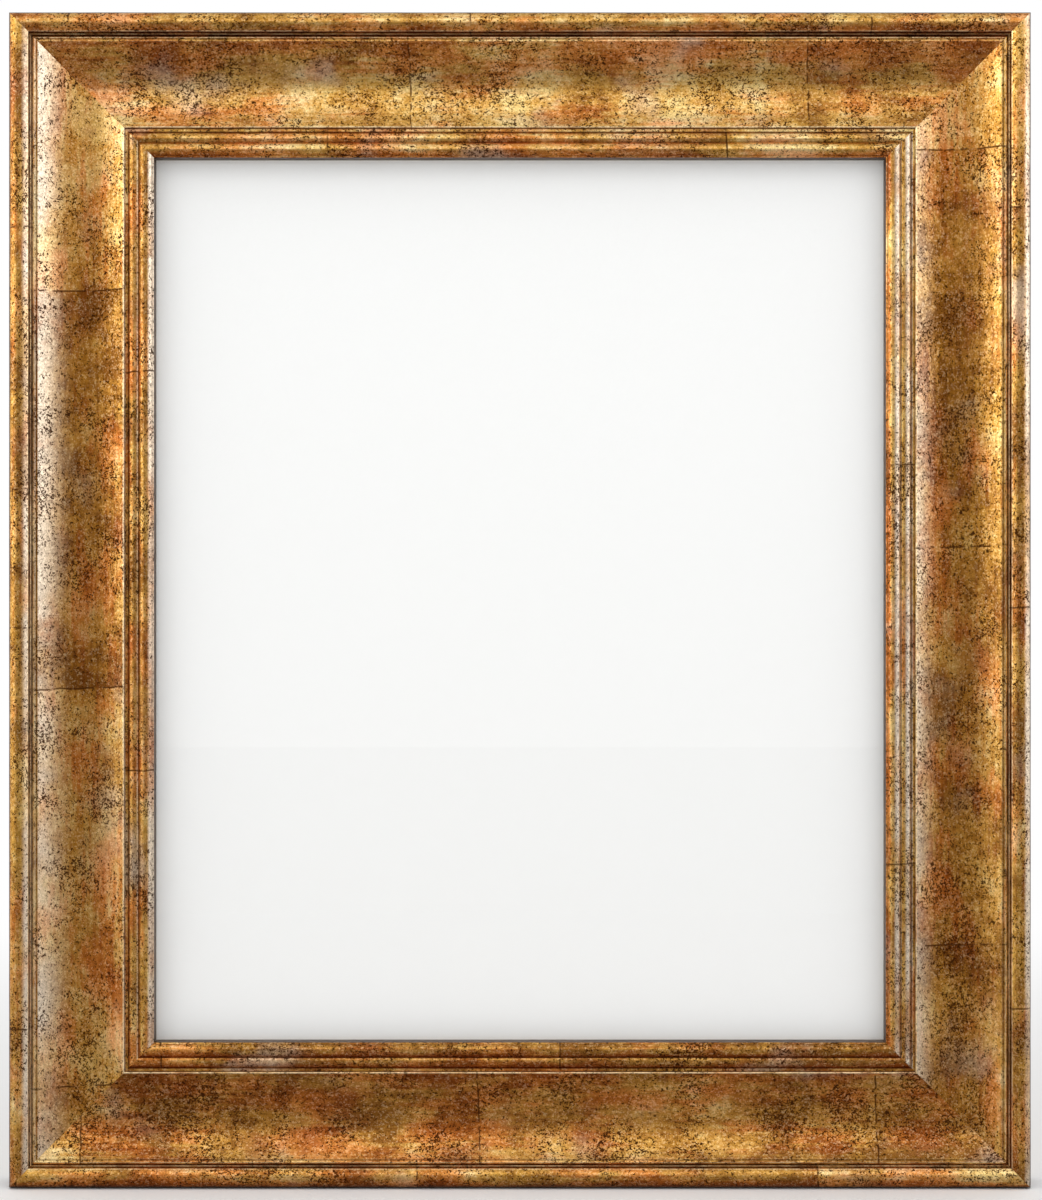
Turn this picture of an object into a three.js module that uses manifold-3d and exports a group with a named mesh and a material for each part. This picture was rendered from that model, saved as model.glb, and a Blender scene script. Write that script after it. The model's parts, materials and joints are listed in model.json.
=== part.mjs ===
import * as THREE from "three";
import { mergeVertices } from "three/addons/utils/BufferGeometryUtils.js";
import Module from "manifold-3d";

// A wall-hung photo frame for a 10 x 12 inch print, upright. Four lengths of a scooped and
// gilded wood moulding are mitred, glued and pinned. A pane, the print, a filler and a hardboard
// back lie in the rabbet under eight turn buttons, and two ring hangers carry it.
//
// Millimetres. +X is to the right and +Z is up as it hangs, the front faces -Y, and the wall is
// the plane y = 0. The origin is the middle of the frame on that plane.

const wasm = await Module();
wasm.setup();

// The print and the moulding that goes round it
const PRINT_WIDTH = 254;
const PRINT_HEIGHT = 305;
const LIP_OVERLAP = 5; // of the print that the lip covers, along each side
const RABBET_PLAY = 1.5; // room round the print, along each side
const RAIL_WIDTH = 48;
const GLUE_LINE = 0.1; // between the two faces of a mitre
const SEAT_GAP = 0.1; // between sheets, and under a screw head that is driven home
const BACK_EASE = 0.6; // sanded edge of the moulding's back

// The sheets in the rabbet, from the front
const GLASS_THICKNESS = 2;
const PRINT_THICKNESS = 0.5;
const FILLER_THICKNESS = 3.5;
const BACKING_THICKNESS = 3;
const BACKING_TRIM = 0.5; // that the hardboard is cut smaller than the print, along each side

// The moulding's section, from the sight edge outwards
const LIP_THICKNESS = 6.5; // of wood in front of the glass, at the sight edge
const SIGHT_EASE = 0.5;
const INNER_REED_WIDTH = 4.7;
const INNER_REED_RISE = 1.4;
const INNER_REED_DROP = 0.3; // that its outer foot is lower than its inner one
const OUTER_REED_WIDTH = 3.7;
const OUTER_REED_RISE = 0.9;
const OUTER_REED_DROP = 1.3;
const STEP_GROOVE_WIDTH = 1;
const STEP_HEIGHT = 1; // from the groove's floor up to the scoop's inner edge
const STEP_ROUND = 0.4;
const SCOOP_RISE_DEG = 28; // slope of the scoop at its inner edge
const SCOOP_FALL_DEG = 35; // slope of the scoop at its outer edge
const RIM_WIDTH = 2;
const RIM_RISE = 0.45;
const QUIRK_WIDTH = 0.25;
const QUIRK_DEPTH = 0.7;
const FILLET_WIDTH = 0.45;
const BEAD_RADIUS = 3.45;
const BEAD_LIFT = 1.8; // of the bead's centre over the fillet
const BEAD_INSET = 0.2; // of the bead from the outer side
const BEAD_UNDERCUT_DEG = 40; // that the bead goes round below its centre, outside
const LEDGE_ROUND = 0.5; // where the ledge under the bead turns down into the side

// Corner nails, driven from the back across each mitre
const NAIL_LEG = 6;
const NAIL_LIP = 1.4;
const NAIL_SPREAD_DEG = 35; // of a leg from the mitre
const NAIL_THICKNESS = 0.8;
const NAIL_DEPTH = 10;
const NAIL_CLEARANCE = 0.3;
const OUTER_NAIL_INSET = 12; // from the outer edge
const INNER_NAIL_INSET = 11; // from the rabbet

// Pan-head wood screws, for the turn buttons and the hangers
const SCREW_LENGTH = 12;
const SCREW_RADIUS = 1.5;
const SCREW_POINT = 4;
const SCREW_HEAD_RADIUS = 3;
const SCREW_HEAD_HEIGHT = 1.7;
const SCREW_HEAD_RIM = 0.6; // of the head's height, that stands straight
const SCREW_HEAD_CROWN = 0.3; // that the rest bows out from a plain cone
const CROSS_LENGTH = 3.4;
const CROSS_WIDTH = 0.8;
const CROSS_DEPTH = 1;
const PILOT_CLEARANCE = 0.3;

// Turn buttons
const BUTTON_THICKNESS = 1;
const BUTTON_ROOT_RADIUS = 6;
const BUTTON_TIP_RADIUS = 4.2;
const BUTTON_REACH = 12; // from the screw to the centre of the tip's round end
const BUTTON_BEND = 9.5; // from the screw to where the tip turns up
const BUTTON_TIP_LIFT = 0.9;
const BUTTON_SETBACK = 7.5; // of the screw from the rabbet
const RUNNING_GAP = 0.3; // round the screw, under the button and under the screw head

// Ring hangers
const STRAP_SHEET = 0.6; // one of the two folded layers
const STRAP_WIDTH = 10;
const STRAP_HOLE_DROP = 19.5; // from the ring's axis down to the screw
const RING_WIRE_RADIUS = 0.9;
const RING_PLAY = 0.3;
const RING_BAR = 15; // straight length through the strap
const RING_CORNER = 2;
const RING_DROP = 12.5; // from the bar's axis to the wire's axis at the bottom
const HANGER_DROP = 72; // from the top edge of the frame to the ring's axis

// Bumpers
const BUMPER_RADIUS = 6;
const BUMPER_THICKNESS = 4; // which also sets how far the wood stands off the wall
const BUMPER_TAPER = 0.5;
const BUMPER_EDGE_INSET = 14;
const BUMPER_CORNER_INSET = 30;

// Fineness of the round forms
const PROFILE_ARC_STEPS = 10;
const ROUND_SIDES = 14;
const CROWN_STEPS = 3;
const RING_STEPS = 44;
const RING_SIDES = 8;
const CUT_OVERRUN = 1; // that a cutter runs past the face it cuts

const radians = THREE.MathUtils.degToRad;

// Sizes that follow from the ones above
const sightWidth = PRINT_WIDTH - 2 * LIP_OVERLAP;
const sightHeight = PRINT_HEIGHT - 2 * LIP_OVERLAP;
const halfOuterWidth = sightWidth / 2 + RAIL_WIDTH;
const halfOuterHeight = sightHeight / 2 + RAIL_WIDTH;
const rabbetWall = RAIL_WIDTH - LIP_OVERLAP - RABBET_PLAY; // from the outer edge
const sheets = [
  { name: "glass_pane", material: "glass", thickness: GLASS_THICKNESS, trim: 0 },
  { name: "blank_print", material: "paper", thickness: PRINT_THICKNESS, trim: 0 },
  { name: "filler_card", material: "card", thickness: FILLER_THICKNESS, trim: 0 },
  { name: "backing_board", material: "hardboard", thickness: BACKING_THICKNESS, trim: BACKING_TRIM },
];
const rabbetDepth = sheets.reduce((depth, sheet) => depth + SEAT_GAP + sheet.thickness, 0);

const materials = {
  leaf: new THREE.MeshStandardMaterial({ color: 0xb07a3a, roughness: 0.42, metalness: 0.85 }),
  steel: new THREE.MeshStandardMaterial({ color: 0xb9bcc0, roughness: 0.35, metalness: 1 }),
  brass: new THREE.MeshStandardMaterial({ color: 0xc09a4e, roughness: 0.35, metalness: 1 }),
  glass: new THREE.MeshStandardMaterial({ color: 0xeef4f2, roughness: 0.05, metalness: 0 }),
  paper: new THREE.MeshStandardMaterial({ color: 0xf6f5f1, roughness: 0.85, metalness: 0 }),
  card: new THREE.MeshStandardMaterial({ color: 0xb58d5f, roughness: 0.9, metalness: 0 }),
  hardboard: new THREE.MeshStandardMaterial({ color: 0x7d5836, roughness: 0.8, metalness: 0 }),
  rubber: new THREE.MeshStandardMaterial({ color: 0x2a2826, roughness: 0.7, metalness: 0 }),
};

// Solids and booleans

function solid(geometry) {
  const bare = geometry.clone();
  bare.deleteAttribute("normal");
  bare.deleteAttribute("uv");
  const merged = mergeVertices(bare);
  return new wasm.Manifold(
    new wasm.Mesh({
      numProp: 3,
      vertProperties: merged.attributes.position.array,
      triVerts: new Uint32Array(merged.index.array),
    }),
  );
}

function geometryOf(manifold) {
  const mesh = manifold.getMesh();
  const geometry = new THREE.BufferGeometry();
  geometry.setAttribute("position", new THREE.BufferAttribute(mesh.vertProperties, 3));
  geometry.setIndex(new THREE.BufferAttribute(mesh.triVerts, 1));
  return geometry;
}

function subtract(geometry, cutters) {
  return geometryOf(cutters.reduce((body, cutter) => body.subtract(solid(cutter)), solid(geometry)));
}

function intersect(geometry, other) {
  return geometryOf(solid(geometry).intersect(solid(other)));
}

function extrude(shape, depth) {
  return new THREE.ExtrudeGeometry(shape, {
    depth,
    bevelEnabled: false,
    curveSegments: PROFILE_ARC_STEPS,
  });
}

// A flat plate with its outline in the XZ plane, from y = low up to y = high.
function plate(outline, low, high) {
  return extrude(outline, high - low)
    .rotateX(Math.PI / 2)
    .translate(0, high, 0);
}

function cylinder(radius, low, high) {
  return new THREE.CylinderGeometry(radius, radius, high - low, ROUND_SIDES).translate(
    0,
    (low + high) / 2,
    0,
  );
}

// Continues a path to (x, y) by an arc that bows out to the right of its travel by rise, or to
// the left where rise is negative.
function bow(path, x, y, rise) {
  const from = path.currentPoint;
  const chord = Math.hypot(x - from.x, y - from.y);
  const radius = (chord ** 2 / 4 + rise ** 2) / (2 * Math.abs(rise));
  const inset = Math.sign(rise) * (radius - Math.abs(rise));
  const centreX = (from.x + x) / 2 - ((y - from.y) / chord) * inset;
  const centreY = (from.y + y) / 2 + ((x - from.x) / chord) * inset;
  const start = Math.atan2(from.y - centreY, from.x - centreX);
  const end = Math.atan2(y - centreY, x - centreX);
  path.absarc(centreX, centreY, radius, start, end, rise < 0);
}

// The closed outline of an open zigzag of sheet metal, halfWidth to each side of its line.
function ribbon(line, halfWidth) {
  const sides = [1, -1].map((side) =>
    line.map((point, i) => {
      const before = line[Math.max(i - 1, 0)];
      const after = line[Math.min(i + 1, line.length - 1)];
      const into = point.clone().sub(before).normalize();
      const out = after.clone().sub(point).normalize();
      const along = into.add(out).normalize();
      const end = i === 0 || i === line.length - 1;
      const edge = end ? along : point.clone().sub(before).normalize();
      const stretch = halfWidth / Math.abs(along.dot(edge));
      return new THREE.Vector2(-along.y, along.x).multiplyScalar(side * stretch).add(point);
    }),
  );
  return new THREE.Shape([...sides[1], ...sides[0].reverse()]);
}

// The moulding's section: x from the outer edge inwards, y from the wood's back forwards.

function mouldingSection() {
  const section = new THREE.Shape();
  section.moveTo(BACK_EASE, 0);
  section.lineTo(rabbetWall, 0);
  section.lineTo(rabbetWall, rabbetDepth);
  section.lineTo(RAIL_WIDTH, rabbetDepth);

  // the sight edge and the two reeds
  let height = rabbetDepth + LIP_THICKNESS;
  let inset = RAIL_WIDTH;
  section.lineTo(inset, height - SIGHT_EASE);
  inset -= SIGHT_EASE;
  section.lineTo(inset, height);
  inset -= INNER_REED_WIDTH;
  height -= INNER_REED_DROP;
  bow(section, inset, height, INNER_REED_RISE);
  inset -= OUTER_REED_WIDTH;
  height -= OUTER_REED_DROP;
  bow(section, inset, height, OUTER_REED_RISE);

  // the groove, and the step up to the scoop
  inset -= STEP_GROOVE_WIDTH;
  section.lineTo(inset, height);
  height += STEP_HEIGHT;
  section.lineTo(inset, height - STEP_ROUND);
  inset -= STEP_ROUND;
  section.lineTo(inset, height);

  // the scoop, a hollow arc that takes all the width the other members leave
  const beadWidth = BEAD_INSET + 2 * BEAD_RADIUS;
  const rimInset = beadWidth + 2 * QUIRK_WIDTH + FILLET_WIDTH + RIM_WIDTH;
  const rise = radians(SCOOP_RISE_DEG);
  const fall = radians(SCOOP_FALL_DEG);
  const scoopRadius = (inset - rimInset) / (Math.sin(rise) + Math.sin(fall));
  const scoopCentre = inset - scoopRadius * Math.sin(rise);
  const scoopTop = height + scoopRadius * Math.cos(rise);
  const down = -Math.PI / 2;
  section.absarc(scoopCentre, scoopTop, scoopRadius, down + rise, down - fall, true);
  height = scoopTop - scoopRadius * Math.cos(fall);
  inset = rimInset - RIM_WIDTH;

  // the rim, then the fillet between its two quirks
  bow(section, inset, height, RIM_RISE);
  const filletHeight = height;
  section.lineTo(inset, filletHeight - QUIRK_DEPTH);
  inset -= QUIRK_WIDTH;
  section.lineTo(inset, filletHeight - QUIRK_DEPTH);
  section.lineTo(inset, filletHeight);
  inset -= FILLET_WIDTH;
  section.lineTo(inset, filletHeight);
  section.lineTo(inset, filletHeight - QUIRK_DEPTH);

  // the bead, straight into the quirk inside and undercut above a ledge outside, and the side
  section.lineTo(beadWidth, filletHeight - QUIRK_DEPTH);
  const beadCentre = BEAD_INSET + BEAD_RADIUS;
  const beadHeight = filletHeight + BEAD_LIFT;
  const undercut = radians(BEAD_UNDERCUT_DEG);
  section.absarc(beadCentre, beadHeight, BEAD_RADIUS, 0, Math.PI + undercut, false);
  const ledgeHeight = beadHeight - BEAD_RADIUS * Math.sin(undercut);
  section.lineTo(LEDGE_ROUND, ledgeHeight);
  bow(section, 0, ledgeHeight - LEDGE_ROUND, LEDGE_ROUND * (1 - Math.SQRT1_2));
  section.lineTo(0, BACK_EASE);
  return section;
}

// A rail lies along X with its outer edge at z = offset, so that a turn about Y puts it on its
// side of the frame. Both of its ends are cut to the mitre.
function mitredRail(halfLength, offset) {
  const geometry = extrude(mouldingSection(), 1);
  const position = geometry.attributes.position;
  const pullBack = (GLUE_LINE / 2) * Math.SQRT2;
  for (let i = 0; i < position.count; i++) {
    const inset = position.getX(i);
    const height = position.getY(i);
    const end = position.getZ(i) === 0 ? 1 : -1;
    position.setXYZ(i, end * (halfLength - inset - pullBack), -height, offset - inset);
  }
  return geometry;
}

// A corner nail, seen from the back: a V whose point lies on the mitre, towards +X. The slot for
// it is the same V with clearance all round.
function cornerNail(clearance) {
  const spread = radians(NAIL_SPREAD_DEG);
  const leg = NAIL_LEG + clearance;
  const foot = new THREE.Vector2(-leg * Math.cos(spread), leg * Math.sin(spread));
  const lip = new THREE.Vector2(0, NAIL_LIP + clearance).add(foot);
  const line = [lip, foot, new THREE.Vector2(0, 0), flip(foot), flip(lip)];
  const high = clearance ? CUT_OVERRUN : 0;
  return plate(ribbon(line, NAIL_THICKNESS / 2 + clearance), -NAIL_DEPTH - clearance, high);
}

function flip(point) {
  return new THREE.Vector2(point.x, -point.y);
}

// The places of the nails, as insets from both outer edges
const nailInsets = { outer: OUTER_NAIL_INSET, inner: rabbetWall - INNER_NAIL_INSET };

// The angle about Y that points a nail's V from the middle to the corner at side x, z
function nailTurn(sideX, sideZ) {
  return Math.atan2(-sideZ, sideX);
}

// Fixings

const screwSeatOnButton = BUTTON_THICKNESS + 2 * RUNNING_GAP;
const strapThickness = 2 * STRAP_SHEET + SEAT_GAP;
const screwSeatOnStrap = strapThickness + SEAT_GAP;

// A screw stands along Y with the underside of its head at y = 0.
function woodScrew() {
  const profile = new THREE.Path();
  profile.moveTo(0, -SCREW_LENGTH);
  profile.lineTo(SCREW_RADIUS, -SCREW_LENGTH + SCREW_POINT);
  profile.lineTo(SCREW_RADIUS, 0);
  profile.lineTo(SCREW_HEAD_RADIUS, 0);
  profile.lineTo(SCREW_HEAD_RADIUS, SCREW_HEAD_RIM);
  bow(profile, 0, SCREW_HEAD_HEIGHT, SCREW_HEAD_CROWN);
  const turned = new THREE.LatheGeometry(profile.getPoints(CROWN_STEPS), ROUND_SIDES);
  const slot = new THREE.BoxGeometry(CROSS_LENGTH, 2 * CROSS_DEPTH, CROSS_WIDTH);
  slot.translate(0, SCREW_HEAD_HEIGHT, 0);
  return subtract(turned, [slot, slot.clone().rotateY(Math.PI / 2)]);
}

// The hole for a screw whose head seats that high above the wood
function pilotHole(seat) {
  return cylinder(SCREW_RADIUS + PILOT_CLEARANCE, seat - SCREW_LENGTH - PILOT_CLEARANCE, CUT_OVERRUN);
}

// A turn button lies flat above the wood, its screw hole at the origin and its tip towards -Z.
function turnButton() {
  const flare = Math.acos((BUTTON_ROOT_RADIUS - BUTTON_TIP_RADIUS) / BUTTON_REACH);
  const down = -Math.PI / 2;
  const outline = new THREE.Shape();
  outline.absarc(0, -BUTTON_REACH, BUTTON_TIP_RADIUS, down - flare, down + flare, false);
  outline.absarc(0, 0, BUTTON_ROOT_RADIUS, down + flare, down - flare + 2 * Math.PI, false);
  const hole = new THREE.Path();
  hole.absarc(0, 0, SCREW_RADIUS + RUNNING_GAP, 0, 2 * Math.PI, true);
  outline.holes.push(hole);

  // the side view, p from the root to the tip, with the tip turned up
  const root = -BUTTON_ROOT_RADIUS;
  const tip = BUTTON_REACH + BUTTON_TIP_RADIUS;
  const side = new THREE.Shape();
  side.moveTo(root, 0);
  side.lineTo(BUTTON_BEND, 0);
  side.lineTo(tip, BUTTON_TIP_LIFT);
  side.lineTo(tip, BUTTON_TIP_LIFT + BUTTON_THICKNESS);
  side.lineTo(BUTTON_BEND, BUTTON_THICKNESS);
  side.lineTo(root, BUTTON_THICKNESS);
  const strip = extrude(side, 2 * BUTTON_ROOT_RADIUS)
    .translate(0, 0, -BUTTON_ROOT_RADIUS)
    .rotateY(Math.PI / 2);
  const blank = plate(outline, -CUT_OVERRUN, BUTTON_TIP_LIFT + BUTTON_THICKNESS + CUT_OVERRUN);
  return intersect(strip, blank).translate(0, RUNNING_GAP, 0);
}

// A hanger's strap is a strip folded round the ring's bar, its two layers screwed down together
// below it. The origin is the bar's axis and the screw hole is towards -Z.
const eyeInside = RING_WIRE_RADIUS + RING_PLAY;
const eyeOutside = eyeInside + STRAP_SHEET;

function hangerStrap() {
  const tail = STRAP_HOLE_DROP + STRAP_WIDTH / 2;
  const underTop = SEAT_GAP - eyeInside;
  const top = underTop + STRAP_SHEET;
  const down = 1.5 * Math.PI;
  const side = new THREE.Shape();
  side.moveTo(tail, top);
  side.absarc(0, 0, eyeOutside, Math.asin(top / eyeOutside), down, false);
  side.lineTo(tail, -eyeOutside);
  side.lineTo(tail, -eyeInside);
  side.absarc(0, 0, eyeInside, down, Math.asin(underTop / eyeInside), true);
  side.lineTo(tail, underTop);
  const folded = extrude(side, STRAP_WIDTH)
    .translate(0, 0, -STRAP_WIDTH / 2)
    .rotateY(Math.PI / 2);

  const half = STRAP_WIDTH / 2;
  const outline = new THREE.Shape();
  outline.moveTo(half, eyeOutside + CUT_OVERRUN);
  outline.lineTo(-half, eyeOutside + CUT_OVERRUN);
  outline.absarc(0, -STRAP_HOLE_DROP, half, Math.PI, 2 * Math.PI, false);
  const hole = new THREE.Path();
  hole.absarc(0, -STRAP_HOLE_DROP, SCREW_RADIUS + PILOT_CLEARANCE, 0, 2 * Math.PI, true);
  outline.holes.push(hole);
  return intersect(folded, plate(outline, -eyeOutside - CUT_OVERRUN, eyeOutside + CUT_OVERRUN));
}

// The ring hangs as near to the wood as the strap behind its bow lets it.
const ringRest = Math.asin((strapThickness + RUNNING_GAP + RING_WIRE_RADIUS - eyeOutside) / RING_DROP);

// The ring is one closed D of wire, its bar along X at the origin and its bow towards -Z.
function hangerRing() {
  const half = RING_BAR / 2;
  const reach = half + RING_CORNER;
  const centreline = new THREE.Path();
  centreline.moveTo(-half, 0);
  centreline.lineTo(half, 0);
  centreline.absarc(half, -RING_CORNER, RING_CORNER, Math.PI / 2, 0, true);
  centreline.absellipse(0, -RING_CORNER, reach, RING_DROP - RING_CORNER, 0, Math.PI, true);
  centreline.absarc(-half, -RING_CORNER, RING_CORNER, Math.PI, Math.PI / 2, true);
  const points = centreline.getSpacedPoints(RING_STEPS).slice(0, -1);
  const loop = new THREE.CatmullRomCurve3(
    points.map((point) => new THREE.Vector3(point.x, 0, point.y)),
    true,
  );
  return new THREE.TubeGeometry(loop, RING_STEPS, RING_WIRE_RADIUS, RING_SIDES, true);
}

function bumper() {
  const profile = [
    [0, 0],
    [BUMPER_RADIUS, 0],
    [BUMPER_RADIUS, BUMPER_THICKNESS - BUMPER_TAPER],
    [BUMPER_RADIUS - BUMPER_TAPER, BUMPER_THICKNESS],
    [0, BUMPER_THICKNESS],
  ].map(([radius, height]) => new THREE.Vector2(radius, height));
  return new THREE.LatheGeometry(profile, 2 * ROUND_SIDES);
}

// Assembly. Everything hangs in one group whose y = 0 is the back of the wood.

const frame = new THREE.Group();
const assembly = new THREE.Group();
assembly.position.y = -BUMPER_THICKNESS;
frame.add(assembly);

function place(parent, name, geometry, material, x = 0, y = 0, z = 0) {
  const mesh = new THREE.Mesh(geometry, materials[material]);
  mesh.name = name;
  mesh.position.set(x, y, z);
  parent.add(mesh);
  return mesh;
}

// The four sides, each with the turn about Y that brings a rail there from the top
const sides = {
  top: { turn: 0, halfLength: halfOuterWidth, offset: halfOuterHeight },
  right: { turn: Math.PI / 2, halfLength: halfOuterHeight, offset: halfOuterWidth },
  bottom: { turn: Math.PI, halfLength: halfOuterWidth, offset: halfOuterHeight },
  left: { turn: -Math.PI / 2, halfLength: halfOuterHeight, offset: halfOuterWidth },
};

const hangerHeight = halfOuterHeight - HANGER_DROP;
const hangerInset = rabbetWall / 2;
const buttonInset = rabbetWall - BUTTON_SETBACK;
const buttonScrewHole = pilotHole(screwSeatOnButton);
const hangerScrewHole = pilotHole(screwSeatOnStrap);
const nailSlot = cornerNail(NAIL_CLEARANCE);

for (const [side, { turn, halfLength, offset }] of Object.entries(sides)) {
  const group = new THREE.Group();
  group.rotation.y = turn;
  assembly.add(group);

  // half of each corner nail's slot is cut in either rail of the mitre
  const cutters = [];
  for (const end of [1, -1]) {
    for (const inset of Object.values(nailInsets)) {
      const x = end * (halfLength - inset);
      cutters.push(nailSlot.clone().rotateY(nailTurn(end, 1)).translate(x, 0, offset - inset));
    }
  }

  // two turn buttons, halfway from the middle of the rabbet to its corners
  const buttonSpacing = (halfLength - rabbetWall) / 2;
  for (const [end, letter] of [[1, "a"], [-1, "b"]]) {
    const x = end * buttonSpacing;
    const z = offset - buttonInset;
    cutters.push(buttonScrewHole.clone().translate(x, 0, z));
    place(group, `turn_button_${side}_${letter}`, turnButton(), "brass", x, 0, z);
    place(group, `button_screw_${side}_${letter}`, woodScrew(), "steel", x, screwSeatOnButton, z);
  }

  // the hanger's screw goes into a side rail, above its middle
  if (side === "left" || side === "right") {
    const x = (side === "left" ? 1 : -1) * (hangerHeight - STRAP_HOLE_DROP);
    cutters.push(hangerScrewHole.clone().translate(x, 0, offset - hangerInset));
  }
  place(group, `${side}_rail`, subtract(mitredRail(halfLength, offset), cutters), "leaf");
}

// Two nails in each corner
for (const [across, sideX] of [["left", -1], ["right", 1]]) {
  for (const [upright, sideZ] of [["top", 1], ["bottom", -1]]) {
    for (const [row, inset] of Object.entries(nailInsets)) {
      const x = sideX * (halfOuterWidth - inset);
      const z = sideZ * (halfOuterHeight - inset);
      const name = `corner_nail_${upright}_${across}_${row}`;
      place(assembly, name, cornerNail(0), "steel", x, 0, z).rotation.y = nailTurn(sideX, sideZ);
    }
  }
}

// The sheets, laid in from the back against the lip
let sheetFront = -rabbetDepth;
for (const { name, material, thickness, trim } of sheets) {
  const blank = new THREE.BoxGeometry(PRINT_WIDTH - 2 * trim, thickness, PRINT_HEIGHT - 2 * trim);
  place(assembly, name, blank, material, 0, sheetFront + SEAT_GAP + thickness / 2, 0);
  sheetFront += SEAT_GAP + thickness;
}

// A hanger on each side rail and a bumper near each bottom corner
for (const [across, sideX] of [["left", -1], ["right", 1]]) {
  const hanger = new THREE.Group();
  hanger.position.set(sideX * (halfOuterWidth - hangerInset), eyeOutside, hangerHeight);
  assembly.add(hanger);
  place(hanger, `hanger_strap_${across}`, hangerStrap(), "brass");
  const ring = place(hanger, `hanger_ring_${across}`, hangerRing(), "brass");
  ring.rotation.x = ringRest;
  const screwHeight = screwSeatOnStrap - eyeOutside;
  place(hanger, `hanger_screw_${across}`, woodScrew(), "steel", 0, screwHeight, -STRAP_HOLE_DROP);

  const bumperX = sideX * (halfOuterWidth - BUMPER_CORNER_INSET);
  const bumperZ = BUMPER_EDGE_INSET - halfOuterHeight;
  place(assembly, `bumper_${across}`, bumper(), "rubber", bumperX, 0, bumperZ);
}

export default frame;
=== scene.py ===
import json
import math

import bmesh
import bpy
import numpy as np
from mathutils import Matrix, Vector, noise
from mathutils.geometry import interpolate_bezier

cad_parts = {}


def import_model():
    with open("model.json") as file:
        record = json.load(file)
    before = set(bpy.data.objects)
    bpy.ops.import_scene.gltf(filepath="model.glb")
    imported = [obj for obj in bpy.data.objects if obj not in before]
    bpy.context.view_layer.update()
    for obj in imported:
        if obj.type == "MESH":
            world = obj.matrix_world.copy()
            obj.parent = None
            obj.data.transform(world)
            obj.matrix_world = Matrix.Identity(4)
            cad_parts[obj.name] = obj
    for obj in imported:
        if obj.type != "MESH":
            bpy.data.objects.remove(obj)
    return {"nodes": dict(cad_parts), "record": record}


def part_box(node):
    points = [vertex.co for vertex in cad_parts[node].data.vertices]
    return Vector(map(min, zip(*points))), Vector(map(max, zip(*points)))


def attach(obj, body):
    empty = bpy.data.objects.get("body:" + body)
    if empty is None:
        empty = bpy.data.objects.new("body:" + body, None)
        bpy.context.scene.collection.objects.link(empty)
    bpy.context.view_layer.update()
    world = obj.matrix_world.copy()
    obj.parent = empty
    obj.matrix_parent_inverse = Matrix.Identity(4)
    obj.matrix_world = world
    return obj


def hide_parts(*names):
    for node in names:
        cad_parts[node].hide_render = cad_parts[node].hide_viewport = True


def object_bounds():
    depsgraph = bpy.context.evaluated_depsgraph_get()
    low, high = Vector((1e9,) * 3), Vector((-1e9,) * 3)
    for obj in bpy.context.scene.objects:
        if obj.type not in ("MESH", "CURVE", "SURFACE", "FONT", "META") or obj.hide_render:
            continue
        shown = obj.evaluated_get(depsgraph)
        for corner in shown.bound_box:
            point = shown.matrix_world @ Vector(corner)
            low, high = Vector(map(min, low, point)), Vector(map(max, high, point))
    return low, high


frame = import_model()
cad_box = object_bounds()

# A leafed photo frame in a plain pale studio. Metres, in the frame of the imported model: +X is to
# the right, +Z is up, the front faces -Y and the wall is the plane y = 0.

MM = 0.001
nodes = frame["nodes"]
SLOTS = {part["node"]: part["material_slot"] for part in frame["record"]["subparts"]}

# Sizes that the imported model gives
rail_low, rail_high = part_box("top_rail")
HALF_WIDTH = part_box("right_rail")[1].x
HALF_HEIGHT = rail_high.z
WOOD_BACK = rail_high.y
CREST_HEIGHT = WOOD_BACK - rail_low.y
RAIL_WIDTH = HALF_HEIGHT - rail_low.z
RABBET_DEPTH = WOOD_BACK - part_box("glass_pane")[0].y
BUMPER_RADIUS = (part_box("bumper_left")[1].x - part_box("bumper_left")[0].x) / 2

# The moulding's section from the sight edge outwards, with finer members than the model's
RABBET_PLAY = 1.5 * MM
BACK_EASE = 0.6 * MM
GLUE_LINE = 0.02 * MM
LIP_THICKNESS = 6.5 * MM
SIGHT_EASE = 0.5 * MM
SIGHT_BAND = 1.4 * MM  # from the sight edge, over which the edges are less rubbed and less brightened by painted highlight, and painted shade falls on faces turned sideways
REEDS = ((4.7 * MM, 1.4 * MM, 0.3 * MM), (3.7 * MM, 0.9 * MM, 1.3 * MM))  # width, rise and drop of each
REEDS_WIDTH = sum(width for width, _, _ in REEDS)
STEP_GROOVE_WIDTH = 1.0 * MM
STEP_HEIGHT = 1.0 * MM
STEP_ROUND = 0.4 * MM
SCOOP_RISE = math.radians(28)
SCOOP_FALL = math.radians(37)
RIM_FLAT = 0.65 * MM  # beside the scoop
RIM_WIDTH = 1.1 * MM
RIM_RISE = 0.28 * MM
RIM_DROP = 0.15 * MM
QUIRK_WIDTH = 0.15 * MM
QUIRK_DEPTH = 0.7 * MM
FILLET_WIDTH = 0.3 * MM
FILLET_RISE = 0.15 * MM
FILLET_DROP = 3.1 * MM  # below the bead's crest
NOTCH_DEPTH = 0.2 * MM  # of the fine line between the fillet and the bead
BEAD_RADIUS = 3.45 * MM  # the model's, which the ledge below the bead follows
BEAD_CREST = 3.7 * MM  # from the outer edge to the bead's highest line
BEAD_SLOPE = 4.6 * MM  # radius of the bead's flatter inner half
BEAD_SHOULDER = 6.9 * MM  # from the outer edge to that half's end
BEAD_FOOT = 7.1 * MM  # and to the foot of the fall below it
BEAD_INSET = 0.2 * MM
BEAD_UNDERCUT = math.radians(40)
BEAD_PAINT_AND_SHADE = math.radians(32)  # of the bead's outer side, which the side's dark paint laps onto, partly a painted shade line along the outer edge
LEDGE_ROUND = 0.5 * MM
QUARTER_RISE = 1 - math.sqrt(0.5)  # of a quarter circle above its chord, as a share of its radius
RIM_INSET = BEAD_FOOT + 2 * QUIRK_WIDTH + FILLET_WIDTH + RIM_WIDTH  # from the outer edge to the rim's flat

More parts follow.
